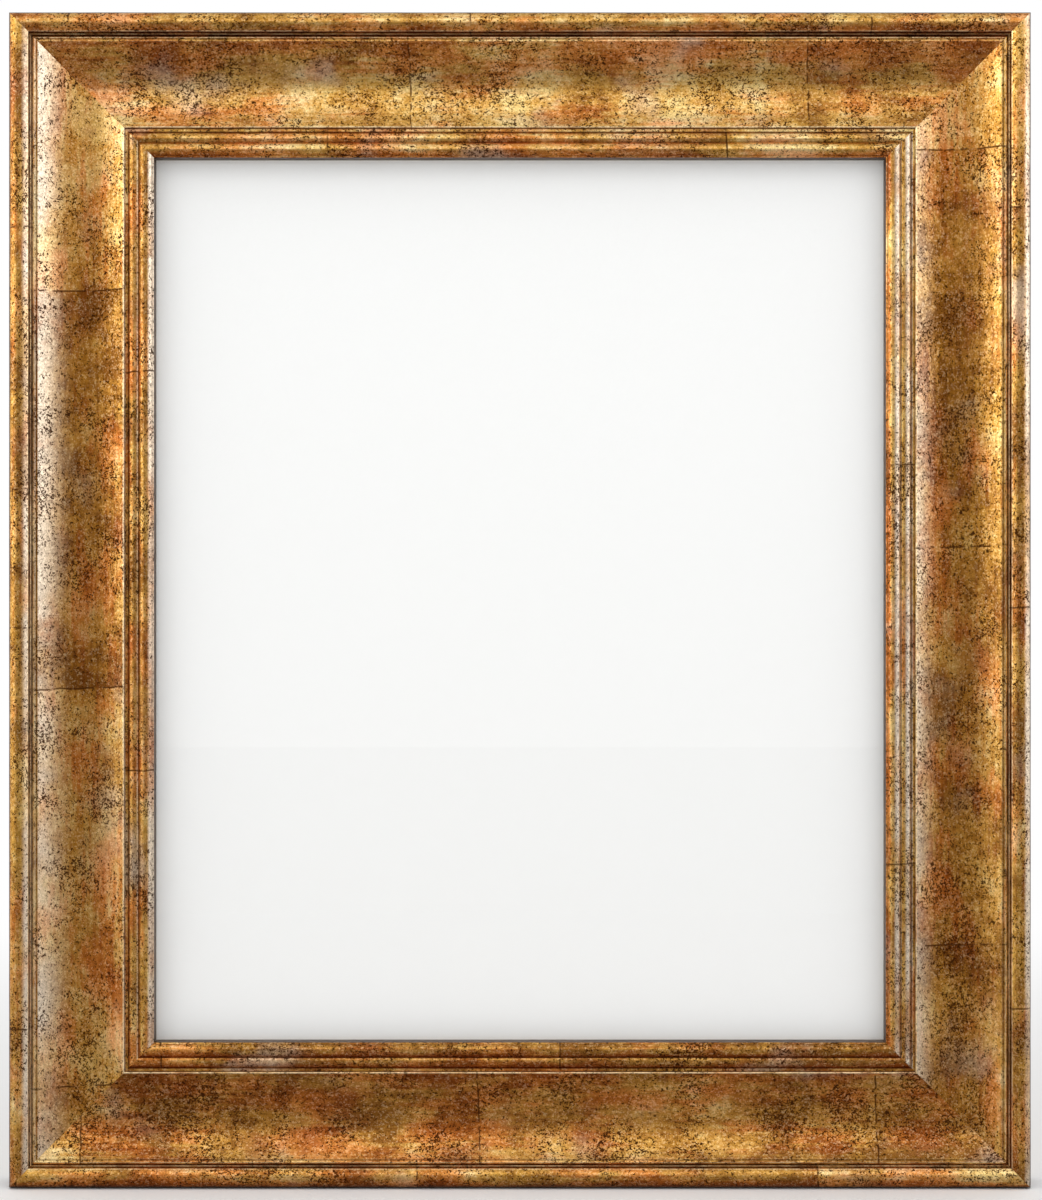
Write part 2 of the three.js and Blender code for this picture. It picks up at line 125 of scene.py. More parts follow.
# The turn buttons, hangers, screws and bumpers, in the model's sizes
CLEARANCE = 0.4 * MM  # round each nail or screw in its hole
BUTTON_THICKNESS = 1.0 * MM
BUTTON_ROOT_RADIUS = 6.0 * MM
BUTTON_TIP_RADIUS = 4.2 * MM
BUTTON_REACH = 12.0 * MM
BUTTON_BEND = 9.5 * MM
BUTTON_TIP_LIFT = 0.9 * MM
HOLE_RADIUS = 1.8 * MM
RUNNING_GAP = 0.3 * MM
STRAP_SHEET = 0.6 * MM
STRAP_WIDTH = 10.0 * MM
STRAP_HOLE_DROP = 19.5 * MM
STRAP_LAYER_GAP = 0.1 * MM
STRAP_LANDING = 3.4 * MM  # below the bar, where the upper layer meets the lower one
STRAP_LIFT_OFF = math.radians(20)  # short of three quarters round the bar, where it leaves the eye
STRAP_LEAVING = 2 / 3 * MM  # over which it keeps its way there
STRAP_ARRIVING = 1.0 * MM  # and where it lands
TAIL_START = 0.01 * MM  # from the strip's end to where its width is measured first
WIRE_RADIUS = 0.9 * MM
RING_PLAY = 0.3 * MM
RING_BAR = 15.0 * MM
RING_CORNER = 2.0 * MM
RING_DROP = 12.5 * MM
SCREW_RADIUS = 1.5 * MM
SCREW_LENGTH = 12.0 * MM
SCREW_POINT = 4.0 * MM
SCREW_TURN = 2.4  # radians from one screw's cross to the next one's
HEAD_RADIUS = 3.0 * MM
HEAD_HEIGHT = 1.7 * MM
HEAD_RIM = 0.5 * MM
HEAD_EASE = 0.15 * MM
HEAD_FULLNESS = 0.8  # below 1, a dome with a fuller shoulder
CROSS_LENGTH = 3.4 * MM
CROSS_WIDTH = 0.75 * MM
CROSS_DEPTH = 1.0 * MM
CROSS_FOOT = 0.45  # how wide its bottom is, where its whole width is 1
CROSS_MOUTH = 1.3  # and its cutter above the head
BUMPER_EASE = 0.7 * MM
BUMPER_FOOT_EASE = 0.2 * MM
BUMPER_DISH = 0.15 * MM
BUMPER_DISH_SHARE = 0.75  # of the radius
SHEET_EASE = 0.16 * MM  # rounding of the sheet metal's edges
SOFT_SHARE = 0.3  # of that rounding, that its middle lies inside the sharp edge
AXIS_RADIUS = 0.02 * MM  # that stands for a point on an axis
CUTTER_SPARE = 1.0 * MM  # that a cutter stands out of what it cuts
SIDES_ROUND = 40  # of a screw or bumper

# How finely the rails are made
FINE_STEP = 0.3 * MM  # between the points of the section
STATION_STEP = 2.0 * MM  # between the sections along a rail
CORNER_REACH = 0.25 * MM  # to each side, over which a bend into a corner is measured
EDGE_REACH = 0.8 * MM  # and a bend round a broad edge
FINE_EDGE_REACH = 0.2 * MM  # and round a fine one
FINE_EDGE_SHARE = 0.6  # how much a fine edge counts, where a broad one counts 1
WAVE_DEPTH = 0.07 * MM  # that the hand-rubbed surface falls short of the cutter's
WAVE_LENGTH = 14 * MM
RIPPLE_DEPTH = 0.03 * MM
RIPPLE_LENGTH = 2.5 * MM
FRONT_HEIGHT = 10.5 * MM  # above the wood's back, to tell the moulded front from the back
WELD = 0.001 * MM  # up to which distance points are one

# The metal leaf, laid in squares. The joins' places are measured along each rail from its middle.
LEAF_PITCH = 133 * MM
LEAF_JOINS = {"top": -34 * MM, "right": -15 * MM, "bottom": 16.6 * MM, "left": 106.2 * MM}
BEAD_JOIN_SHIFT = 21 * MM
SIGHT_JOIN_SHIFT = -28 * MM
STRIP_OFFSET = 40  # leaf squares between one strip's pattern and the next one's

# How the leaf, its glaze and its wax differ from place to place, with light and shade painted into them
# painted light: the top rail's leaf lighter and the bottom rail's darker, as the light falls on them
RAIL_LIGHT_TONES = {"top": 0.08, "right": 0.02, "bottom": -0.05, "left": 0.01}
BEAD_LIGHT_TONES = {"top": 0.0, "right": -0.04, "bottom": 0.06, "left": -0.02}  # added to that on the bead, as painted light: the bottom rail's bead lighter, the side rails' a little darker
# painted shade: a deeper glaze on the bottom rail, and a little on the left
RAIL_SHADE_GLAZES = {"top": 0.0, "right": 0.0, "bottom": -0.03, "left": -0.01}
# amber glaze pooled in the scoop, by rail, partly painted shade in its middle
HOLLOW_GLAZES_AND_SHADE = {"top": 0.1, "right": 1.0, "bottom": 0.6, "left": 1.0}
HOLLOW_MARGIN = 10 * MM  # from the rail's two edges to where the hollow's glaze starts
RIM_SHADE = {"top": 0.0, "right": 0.5, "bottom": 0.0, "left": 0.5}  # painted shade on the side rails, from the rim's flat into the scoop
RIM_SHADE_REACH = 1.6 * MM
QUIRK_WAX_AND_SHADE = 0.55  # of wax and painted shade in the quirks beside the bead, where other corners hold 1
REED_SHEEN = 0.3  # how much further the right rail's reeds count as turned to +X, for more painted silvery sheen
SHADE_TONE = 0.15  # painted shade: how far the leaf's tone falls where it faces down
# and how far its glaze deepens there, also painted shade
SHADE_GLAZE = 0.25
SIGHT_RUB_AND_HIGHLIGHT = 0.3  # how much the sight edge is rubbed bright, partly a painted highlight, where other edges get 1

# The camera
PHOTO_HEIGHT = 1200
PHOTO_SCALE = 0.3324 * MM  # one pixel of the photograph, at the bead
PHOTO_OFFSET = 1.1  # pixels that the frame stands to the left of the photograph's middle
CAMERA_DISTANCE = 1.0  # from the bead
SENSOR = 36  # millimetres, as the camera counts it


# Outlines

def arc(centre, radius, start, end):
    """Points along an arc, without its first one."""
    steps = max(2, math.ceil(abs(end - start) * radius / FINE_STEP))
    turns = [start + (end - start) * (i + 1) / steps for i in range(steps)]
    return [(centre[0] + radius * math.cos(t), centre[1] + radius * math.sin(t)) for t in turns]


def line(start, end):
    """Points along a straight line, without its first one."""
    steps = max(1, math.ceil(math.dist(start, end) / FINE_STEP))
    shares = [(i + 1) / steps for i in range(steps)]
    return [(start[0] + (end[0] - start[0]) * s, start[1] + (end[1] - start[1]) * s) for s in shares]


def bow(start, end, rise):
    """Points along an arc that bows out to the right of its travel by rise, without its first one."""
    chord = math.dist(start, end)
    radius = (chord ** 2 / 4 + rise ** 2) / (2 * rise)
    along = ((end[0] - start[0]) / chord, (end[1] - start[1]) / chord)
    inset = radius - rise
    centre = ((start[0] + end[0]) / 2 - along[1] * inset, (start[1] + end[1]) / 2 + along[0] * inset)
    first = math.atan2(start[1] - centre[1], start[0] - centre[0])
    last = math.atan2(end[1] - centre[1], end[0] - centre[0])
    if last < first:
        last += 2 * math.pi
    return arc(centre, radius, first, last)


class Outline:
    """A closed outline of (inset, height) points, each with the zone of the stretch that ends there."""

    def __init__(self, start):
        self.points = [start]
        self.zones = []

    def go(self, zone, points):
        self.points += points
        self.zones += [zone] * len(points)

    def to(self, zone, inset, height):
        self.go(zone, line(self.points[-1], (inset, height)))

    def straight_to(self, zone, inset, height):
        self.go(zone, [(inset, height)])

    def bow_to(self, zone, inset, height, rise):
        self.go(zone, bow(self.points[-1], (inset, height), rise))


def moulding_section():
    """The section, from the outer edge's back round by the rabbet, the sight edge and the bead."""
    rabbet_wall = HALF_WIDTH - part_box("glass_pane")[1].x - RABBET_PLAY
    section = Outline((BACK_EASE, 0.0))
    section.straight_to("wood", rabbet_wall, 0.0)
    section.straight_to("wood", rabbet_wall, RABBET_DEPTH)
    section.straight_to("wood", RAIL_WIDTH, RABBET_DEPTH)
    inset, height = add_reeds(section)
    add_scoop(section, inset, height)
    add_rim(section)
    add_bead(section)
    add_side(section)
    section.zones.append("wood")
    return section


def add_reeds(section):
    """The sight edge, the two reeds, the groove beside them and the step up to the scoop."""
    height = RABBET_DEPTH + LIP_THICKNESS
    section.to("side", RAIL_WIDTH, height - SIGHT_EASE)
    centre = (RAIL_WIDTH - SIGHT_EASE, height - SIGHT_EASE)
    section.go("sight", arc(centre, SIGHT_EASE, 0, math.pi / 2))
    inset = section.points[-1][0]
    for width, rise, drop in REEDS:
        inset -= width
        height -= drop
        section.bow_to("sight", inset, height, rise)
    inset -= STEP_GROOVE_WIDTH
    section.to("sight", inset, height)
    height += STEP_HEIGHT
    section.to("scoop", inset, height - STEP_ROUND)
    inset -= STEP_ROUND
    section.bow_to("scoop", inset, height, STEP_ROUND * QUARTER_RISE)
    return inset, height


def add_scoop(section, inset, height):
    radius = (inset - RIM_INSET - RIM_FLAT) / (math.sin(SCOOP_RISE) + math.sin(SCOOP_FALL))
    centre = (inset - radius * math.sin(SCOOP_RISE), height + radius * math.cos(SCOOP_RISE))
    down = -math.pi / 2
    section.go("scoop", arc(centre, radius, down + SCOOP_RISE, down - SCOOP_FALL))


def add_rim(section):
    """The rim with its flat, the quirk beside it, and the fillet at the bead's foot."""
    inset, height = section.points[-1]
    fillet = CREST_HEIGHT - FILLET_DROP
    inset -= RIM_FLAT
    section.to("scoop", inset, height)
    inset -= RIM_WIDTH
    section.bow_to("scoop", inset, height - RIM_DROP, RIM_RISE)
    section.to("scoop", inset, height - QUIRK_DEPTH)
    inset -= QUIRK_WIDTH
    section.to("bead", inset, height - QUIRK_DEPTH)
    section.to("bead", inset, fillet)
    inset -= FILLET_WIDTH
    section.bow_to("bead", inset, fillet, FILLET_RISE)
    section.to("bead", inset, fillet - NOTCH_DEPTH)
    section.to("bead", BEAD_FOOT, fillet - NOTCH_DEPTH)


def add_bead(section):
    """The bead's flatter inner half and its rounder outer one, down to the undercut."""
    start = math.acos((BEAD_SHOULDER - BEAD_CREST) / BEAD_SLOPE)
    centre = (BEAD_CREST, CREST_HEIGHT - BEAD_SLOPE)
    section.to("bead", BEAD_SHOULDER, centre[1] + BEAD_SLOPE * math.sin(start))
    section.go("bead", arc(centre, BEAD_SLOPE, start, math.pi / 2))
    outer_half = BEAD_CREST - BEAD_INSET
    centre = (BEAD_CREST, CREST_HEIGHT - outer_half)
    section.go("bead", arc(centre, outer_half, math.pi / 2, math.pi - BEAD_PAINT_AND_SHADE))
    # the side's dark paint, partly a painted shade line along the outer edge
    section.go("side", arc(centre, outer_half, math.pi - BEAD_PAINT_AND_SHADE, math.pi + BEAD_UNDERCUT))


def add_side(section):
    """The ledge below the bead, and the flat outer side."""
    ledge = CREST_HEIGHT - BEAD_RADIUS - BEAD_RADIUS * math.sin(BEAD_UNDERCUT)
    section.to("side", LEDGE_ROUND, ledge)
    section.bow_to("side", 0.0, ledge - LEDGE_ROUND, LEDGE_ROUND * QUARTER_RISE)
    section.to("side", 0.0, BACK_EASE)


# Meshes

SHARP_ANGLE = math.radians(35)


def new_piece(name, skin, materials, smooth=True):
    points, faces = skin
    mesh = bpy.data.meshes.new(name)
    mesh.from_pydata(np.array(points).tolist(), [], faces)
    for material in materials:
        mesh.materials.append(material)
    mesh.polygons.foreach_set("use_smooth", [smooth] * len(mesh.polygons))
    if smooth:
        outward(mesh)
        mesh.set_sharp_from_angle(angle=SHARP_ANGLE)
    piece = bpy.data.objects.new(name, mesh)
    bpy.context.scene.collection.objects.link(piece)
    return piece


def outward(mesh):
    """Turns every face of a closed mesh to the outside."""
    shape = bmesh.new()
    shape.from_mesh(mesh)
    bmesh.ops.recalc_face_normals(shape, faces=shape.faces)
    shape.to_mesh(mesh)
    shape.free()


def looped(loops, closed=False):
    """A skin over loops of equally many points. Its two ends join up, or each is capped."""
    points = np.array(loops)
    rows, count, _ = points.shape
    faces = []
    for i in range(rows if closed else rows - 1):
        here, there = i * count, (i + 1) % rows * count
        for j in range(count):
            k = (j + 1) % count
            faces.append((here + j, here + k, there + k, there + j))
    if not closed:
        faces.append(tuple(reversed(range(count))))
        faces.append(tuple(range((rows - 1) * count, rows * count)))
    return points.reshape(-1, 3), faces


def carve(piece, cutters, slot=0):
    """Cuts every cutter's shape out of the piece. The cut faces get the material of that slot."""
    points = []
    faces = []
    for vertices, polygons in cutters:
        faces += [tuple(len(points) + i for i in polygon) for polygon in polygons]
        points += [tuple(p) for p in vertices]
    cutter = new_piece("cutter", (points, faces), piece.data.materials, smooth=False)
    cutter.data.polygons.foreach_set("material_index", [slot] * len(faces))
    boolean = piece.modifiers.new("cut", "BOOLEAN")
    boolean.operation = "DIFFERENCE"
    boolean.solver = "EXACT"
    boolean.object = cutter
    whole = piece.data
    piece.data = bpy.data.meshes.new_from_object(piece.evaluated_get(bpy.context.evaluated_depsgraph_get()))
    piece.modifiers.clear()
    piece.data.set_sharp_from_angle(angle=SHARP_ANGLE)
    bpy.data.meshes.remove(whole)
    bpy.data.objects.remove(cutter)


def swollen(node):
    """The node's shape as one closed skin, swollen by the clearance round a nail or screw."""
    shape = bmesh.new()
    shape.from_mesh(nodes[node].data)
    bmesh.ops.remove_doubles(shape, verts=shape.verts, dist=WELD)
    bmesh.ops.recalc_face_normals(shape, faces=shape.faces)
    shape.normal_update()
    points = [v.co + v.normal * CLEARANCE for v in shape.verts]
    faces = [tuple(v.index for v in face.verts) for face in shape.faces]
    shape.free()
    return points, faces


def unit(vectors):
    return vectors / np.maximum(np.linalg.norm(vectors, axis=1), 1e-12)[:, None]


def full_turn(steps):
    """Angles in even steps all the way round."""
    return [2 * math.pi * i / steps for i in range(steps)]


def distances(ring):
    """How far along a closed outline each point is, and its whole length at the end."""
    step = np.roll(ring, -1, 0) - ring
    return np.concatenate([[0], np.cumsum(np.hypot(step[:, 0], step[:, 1]))])


def bends(ring, reach):
    """How far the closed outline turns near each point, in quarter turns. In a corner it is below 0."""
    place = distances(ring)
    total = place[-1]
    loop = np.vstack([ring, ring[:1]])

    def at(distance):
        return np.stack([np.interp(distance % total, place, loop[:, k]) for k in (0, 1)], 1)

    here = place[:-1]
    before = at(here) - at(here - reach)
    after = at(here + reach) - at(here)
    turn = np.arctan2(
        before[:, 0] * after[:, 1] - before[:, 1] * after[:, 0],
        before[:, 0] * after[:, 0] + before[:, 1] * after[:, 1],
    )
    return turn / (math.pi / 2)


def outline_normals(ring):
    """The outward unit normal of the closed outline at each point."""
    along = unit(np.roll(ring, -1, 0) - np.roll(ring, 1, 0))
    return np.stack([along[:, 1], -along[:, 0]], 1)


# Rails

SIDES = {"top": 0, "right": 1, "bottom": 2, "left": 3}  # quarter turns about Y from the top
QUARTER_TURNS = ((1, 0), (0, 1), (-1, 0), (0, -1))  # as cosine and sine
SECTION = moulding_section()
OUTLINE = np.array(SECTION.points)
INSETS, HEIGHTS = OUTLINE.T
NORMALS = outline_normals(OUTLINE)
RUN = distances(OUTLINE)
ON_FRONT = HEIGHTS > FRONT_HEIGHT
RAIL_ZONES = {"wood": 2, "side": 1, "sight": 0, "scoop": 0, "bead": 0}
STRIPS = {"scoop": 0, "bead": 1, "sight": 2, "side": 1, "wood": 0}
STRIP_SHIFTS = (0.0, BEAD_JOIN_SHIFT, SIGHT_JOIN_SHIFT)


def about_y(points, cos, sin):
    """The points turned about Y by the angle of that cosine and sine."""
    x, y, z = points[..., 0], points[..., 1], points[..., 2]
    return np.stack([x * cos + z * sin, y, z * cos - x * sin], -1)


def to_side(points, side):
    """The points turned from the top rail's place to the side's."""
    return about_y(points, *QUARTER_TURNS[SIDES[side]])


def waviness(points):
    """How far each point lies below the true section."""
    seeds = [Vector(p) for p in points.reshape(-1, 3)]
    wave = np.array([noise.noise(p / WAVE_LENGTH) for p in seeds])
    ripple = np.array([noise.noise(p / RIPPLE_LENGTH) for p in seeds])
    depth = WAVE_DEPTH * (0.5 + 0.5 * wave) + RIPPLE_DEPTH * (0.5 + 0.5 * ripple)
    return depth.reshape(points.shape[:-1])


def rail_points(side):
    """The side's rail, lying as the top one does, by place along the rail and by point of the section."""
    upright = SIDES[side] % 2
    half_length, offset = (HALF_HEIGHT, HALF_WIDTH) if upright else (HALF_WIDTH, HALF_HEIGHT)
    reach = half_length - INSETS - GLUE_LINE / math.sqrt(2)
    stations = np.linspace(-1, 1, math.ceil(2 * half_length / STATION_STEP) + 1)
    shape = (len(stations), len(OUTLINE))
    points = np.stack([
        stations[:, None] * reach,
        np.broadcast_to(WOOD_BACK - HEIGHTS, shape),
        np.broadcast_to(offset - INSETS, shape),
    ], -1)
    leafed = np.array([zone != "wood" for zone in SECTION.zones])
    leafed &= np.roll(leafed, 1)
    depth = waviness(to_side(points, side)) * leafed
    points[..., 1] += NORMALS[:, 1] * depth
    points[..., 2] += NORMALS[:, 0] * depth
    return points


def rail_faces(rows):
    """The faces of a skin over that many sections and its two caps, and the material slot of each."""
    count = len(OUTLINE)
    faces = []
    slots = []
    for i in range(rows - 1):
        here, there = i * count, (i + 1) * count
        for j, zone in enumerate(SECTION.zones):
            k = (j + 1) % count
            faces.append((here + j, there + j, there + k, here + k))
            slots.append(RAIL_ZONES[zone])
    faces.append(tuple(range(count)))
    faces.append(tuple(reversed(range((rows - 1) * count, rows * count))))
    slots += [RAIL_ZONES["wood"]] * 2
    return faces, slots


def leaf_places(side, along):
    """Where each corner of each face lies on the leaf: along the rail, and across it round the section."""
    places = []
    for i in range(len(along) - 1):
        for j, zone in enumerate(SECTION.zones):
            k = (j + 1) % len(OUTLINE)
            strip = STRIPS[zone]
            number = SIDES[side] * len(STRIP_SHIFTS) + strip
            shift = number * STRIP_OFFSET * LEAF_PITCH - STRIP_SHIFTS[strip]
            for station, point, across in ((i, j, j), (i + 1, j, j), (i + 1, k, j + 1), (i, k, j + 1)):
                places += [along[station, point] + shift, RUN[across]]
    for cap in (OUTLINE, OUTLINE[::-1]):
        places += cap.ravel().tolist()
    return places


def hollows():
    """1 at the bottom of the scoop and 0 at its two rims."""
    across = (INSETS - HOLLOW_MARGIN) / (RAIL_WIDTH - 2 * HOLLOW_MARGIN)
    inside = (across > 0) & (across < 1) & ON_FRONT
    return np.where(inside, 1 - (2 * across - 1) ** 2, 0.0)


def wax_and_shade(side):
    """How much wax and painted shade each point of the section holds: wax with painted shade in its
    corners, and painted shade beside the rim.
    """
    corner = np.maximum(0, -bends(OUTLINE, CORNER_REACH))
    corner *= np.where(INSETS < RIM_INSET + RIM_FLAT, QUIRK_WAX_AND_SHADE, 1.0)
    beyond = (INSETS - RIM_INSET) / RIM_SHADE_REACH
    beside_rim = (beyond > 0) & (beyond < 1) & ON_FRONT
    return np.maximum(corner, np.where(beside_rim, RIM_SHADE[side] * (1 - beyond ** 2), 0.0))


def leaf_marks(side):
    """What the leaf's material reads at each point of the section, painted light and shade among it."""
    facing = to_side(np.stack([0 * INSETS, -NORMALS[:, 1], -NORMALS[:, 0]], 1), side)
    bead = INSETS < BEAD_FOOT
    reeds = INSETS > RAIL_WIDTH - REEDS_WIDTH - STEP_GROOVE_WIDTH
    sight_edge = INSETS > RAIL_WIDTH - SIGHT_BAND
    # painted shade on faces turned down, and on faces turned sideways at the sight edge
    turned_to_shade = np.maximum(0, -facing[:, 2]) + np.abs(facing[:, 0]) * sight_edge
    edge = np.maximum(bends(OUTLINE, EDGE_REACH), FINE_EDGE_SHARE * bends(OUTLINE, FINE_EDGE_REACH))
    return {
        "corner": wax_and_shade(side),
        # rubbed edges with a painted highlight, weaker at the sight edge
        "edge": edge * np.where(sight_edge, SIGHT_RUB_AND_HIGHLIGHT, 1.0),
        # painted silvery sheen on faces turned to +X, more on the right rail's reeds
        "facing": facing[:, 0] + REED_SHEEN * (reeds & (side == "right")),
        "hollow": hollows() * HOLLOW_GLAZES_AND_SHADE[side],
        # painted light and shade in the tone and glaze marks: by rail, on the bead, and on faces turned
        # down
        "tone": RAIL_LIGHT_TONES[side] + BEAD_LIGHT_TONES[side] * bead - SHADE_TONE * turned_to_shade,
        "glaze": RAIL_SHADE_GLAZES[side] - SHADE_GLAZE * turned_to_shade,
    }


def rail(side, materials):
    """One mitred rail as a closed mesh, with its place on the leaf and the leaf's marks."""
    points = rail_points(side)
    faces, slots = rail_faces(len(points))
    piece = new_piece(f"{side}_moulding", (to_side(points, side).reshape(-1, 3), faces), materials)
    mesh = piece.data
    mesh.polygons.foreach_set("material_index", slots)
    places = leaf_places(side, points[..., 0] - LEAF_JOINS[side])
    mesh.uv_layers.new(name="leaf").data.foreach_set("uv", places)
    for name, values in leaf_marks(side).items():
        layer = mesh.attributes.new(name, "FLOAT", "POINT")
        layer.data.foreach_set("value", np.tile(values, len(points)).astype(np.float32))
    carve(piece, [swollen(node) for node in fixings_in(side)], RAIL_ZONES["wood"])
    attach(piece, "frame")
    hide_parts(f"{side}_rail")


def fixings_in(side):
    """The nodes that are driven into a rail."""
    found = [n for n in nodes if n.startswith("corner_nail") and side in n.split("_")]
    found += [f"button_screw_{side}_{letter}" for letter in "ab"]
    if side in ("left", "right"):
        found.append(f"hanger_screw_{side}")
    return found


def dressed(node, kind, skin, material, body="frame"):
    """A finer piece that stands for a node of the model."""
    piece = new_piece(f"{node}_{kind}", skin, [material])
    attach(piece, body)
    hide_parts(node)
    return piece


# Hardware

SHEET_STEPS = 8
WIRE_SIDES = 14
BOW_STEPS = 96
CORNER_STEPS = 10
BAR_STEPS = 24
TAIL_STEPS = 70
EYE_STEPS = 40
LANDING_STEPS = 12
UPPER_STEPS = 60
DOME_STEPS = 12
BUMPER_RIM_STEPS = 6


def quarter_turn(steps):
    """Angles from 0 to a quarter turn, without the first."""
    return [math.pi / 2 * (i + 1) / steps for i in range(steps)]


def round_reach(turn, drop, large, small):
    """How far an outline round a large circle and a small one below it is from the large one's middle."""
    below = abs(math.pi - turn)
    flank = math.acos((large - small) / drop)
    tip = math.atan2(small * math.sin(flank), drop + small * math.cos(flank))
    if below >= flank:
        return large
    if below >= tip:
        return large / math.cos(flank - below)
    return drop * math.cos(below) + math.sqrt(small ** 2 - (drop * math.sin(below)) ** 2)


def turn_button_skin():
    """The sheet round its screw hole, with eased edges, its tip bent up. The hole is at the origin."""
    turns = full_turn(2 * SIDES_ROUND)
    away = np.array([(math.sin(t), math.cos(t)) for t in turns])
    reach = [round_reach(t, BUTTON_REACH, BUTTON_ROOT_RADIUS, BUTTON_TIP_RADIUS) for t in turns]
    outer = away * np.array(reach)[:, None]
    inner = away * HOLE_RADIUS
    ease = SHEET_EASE
    soft = SHEET_EASE * SOFT_SHARE
    top = BUTTON_THICKNESS
    shares = [i / SHEET_STEPS for i in range(1, SHEET_STEPS)]

    # the upper rows from the hole to the rim, as (share of the way out, shift further out, height)
    rows = [(0, 0, top - ease), (0, soft, top - soft), (0, ease, top)] + [(s, 0, top) for s in shares]
    rows += [(1, -ease, top), (1, -soft, top - soft), (1, 0, top - ease)]
    rows += [(share, shift, top - height) for share, shift, height in reversed(rows)]
    slope = BUTTON_TIP_LIFT / (BUTTON_REACH + BUTTON_TIP_RADIUS - BUTTON_BEND)
    loops = []
    for share, shift, height in rows:
        flat = inner * (1 - share) + outer * share + away * shift
        lift = np.maximum(0, -flat[:, 1] - BUTTON_BEND) * slope
        loops.append(np.stack([flat[:, 0], height + lift, flat[:, 1]], 1))
    return looped(loops, closed=True)


def tube(points, radius):
    """A closed wire round a centreline that lies in a plane of constant y."""
    up = np.array((0, 1, 0))
    along = unit(np.roll(points, -1, 0) - np.roll(points, 1, 0))
    loops = []
    for point, across in zip(points, np.cross(along, up)):
        ways = [math.cos(t) * across + math.sin(t) * up for t in full_turn(WIRE_SIDES)]
        loops.append([point + radius * way for way in ways])
    return looped(loops, closed=True)


def ring_skin():
    """The D-shaped wire ring, its bar along X at the origin and its bow straight down."""
    half = RING_BAR / 2
    corner = RING_CORNER
    reach = half + corner
    drop = RING_DROP - corner
    corner_turns = quarter_turn(CORNER_STEPS)
    bow_turns = np.linspace(0, math.pi, BOW_STEPS + 1)[1:]
    outline = [(half, 0.0)]
    outline += [(half + corner * math.sin(a), -corner + corner * math.cos(a)) for a in corner_turns]
    outline += [(reach * math.cos(a), -corner - drop * math.sin(a)) for a in bow_turns]
    outline += [(-half - corner * math.cos(a), -corner + corner * math.sin(a)) for a in corner_turns]
    outline += [(-half + RING_BAR * i / BAR_STEPS, 0.0) for i in range(1, BAR_STEPS)]
    return tube(np.array([(x, 0.0, z) for x, z in outline]), WIRE_RADIUS)


def eased_sheet(reach, half, ease):
    """The cross-section of a strip with eased edges, as (across, height)."""
    soft = ease * SOFT_SHARE
    corner = [(-reach, half - ease), (soft - reach, half - soft), (ease - reach, half)]
    upper = corner + [(-x, h) for x, h in reversed(corner)]
    return upper + [(-x, -h) for x, h in upper]


def strap_path():
    """The strap's side view from its under tail round to its upper one, as (height, drop below the bar)."""
    half_sheet = STRAP_SHEET / 2
    eye = WIRE_RADIUS + RING_PLAY + half_sheet
    upper = STRAP_LAYER_GAP + half_sheet - WIRE_RADIUS - RING_PLAY
    tail = STRAP_HOLE_DROP + STRAP_WIDTH / 2
    way = tail - STRAP_LANDING
    turns = np.linspace(0, 1.5 * math.pi - STRAP_LIFT_OFF, EYE_STEPS)
    path = [(-eye, tail * (1 - i / TAIL_STEPS)) for i in range(TAIL_STEPS)]
    path += [(-eye * math.cos(a), -eye * math.sin(a)) for a in turns]
    start, end = Vector(path[-1]), Vector((upper, STRAP_LANDING))
    leaving = Vector((-math.cos(STRAP_LIFT_OFF), math.sin(STRAP_LIFT_OFF))) * STRAP_LEAVING
    arriving = Vector((0, STRAP_ARRIVING))
    path += interpolate_bezier(start, start + leaving, end - arriving, end, LANDING_STEPS + 1)[1:]
    path += [(upper, STRAP_LANDING + way * i / UPPER_STEPS) for i in range(1, UPPER_STEPS + 1)]
    return np.array(path)


def strap_skin():
    """The strip folded round the ring's bar, which is along X at the origin, with both tails rounded."""
    path = strap_path()
    along = unit(np.gradient(path, axis=0))
    normal = np.stack([-along[:, 1], along[:, 0]], 1)
    run = distances(path)[:-1]
    half = STRAP_WIDTH / 2
    from_end = np.clip(np.minimum(run, run[-1] - run), TAIL_START, half)
    widths = np.sqrt(half ** 2 - (half - from_end) ** 2)
    loops = []
    for place, way, width in zip(path, normal, widths):
        section = eased_sheet(max(width, 2 * SHEET_EASE), STRAP_SHEET / 2, SHEET_EASE)
        loops.append([(x, place[0] + way[0] * h, -place[1] - way[1] * h) for x, h in section])
    return looped(loops)


def turned_skin(profile):
    """A shape turned about the Y axis from (radius, height) points, from its lowest to its highest one."""
    turns = full_turn(SIDES_ROUND)
    return looped([[(r * math.cos(t), y, r * math.sin(t)) for t in turns] for r, y in profile])


def screw_skin():
    """A pan-head screw along Y, the underside of its head at y = 0."""
    shank = [(AXIS_RADIUS, -SCREW_LENGTH), (SCREW_RADIUS, -SCREW_LENGTH + SCREW_POINT), (SCREW_RADIUS, 0.0)]
    rim = [(HEAD_RADIUS - HEAD_EASE, 0.0), (HEAD_RADIUS, HEAD_EASE), (HEAD_RADIUS, HEAD_RIM)]
    crown = HEAD_HEIGHT - HEAD_RIM
    dome = []
    for angle in quarter_turn(DOME_STEPS)[:-1]:
        dome.append((HEAD_RADIUS * math.cos(angle) ** HEAD_FULLNESS, HEAD_RIM + crown * math.sin(angle)))
    return turned_skin(shank + rim + dome + [(AXIS_RADIUS, HEAD_HEIGHT)])


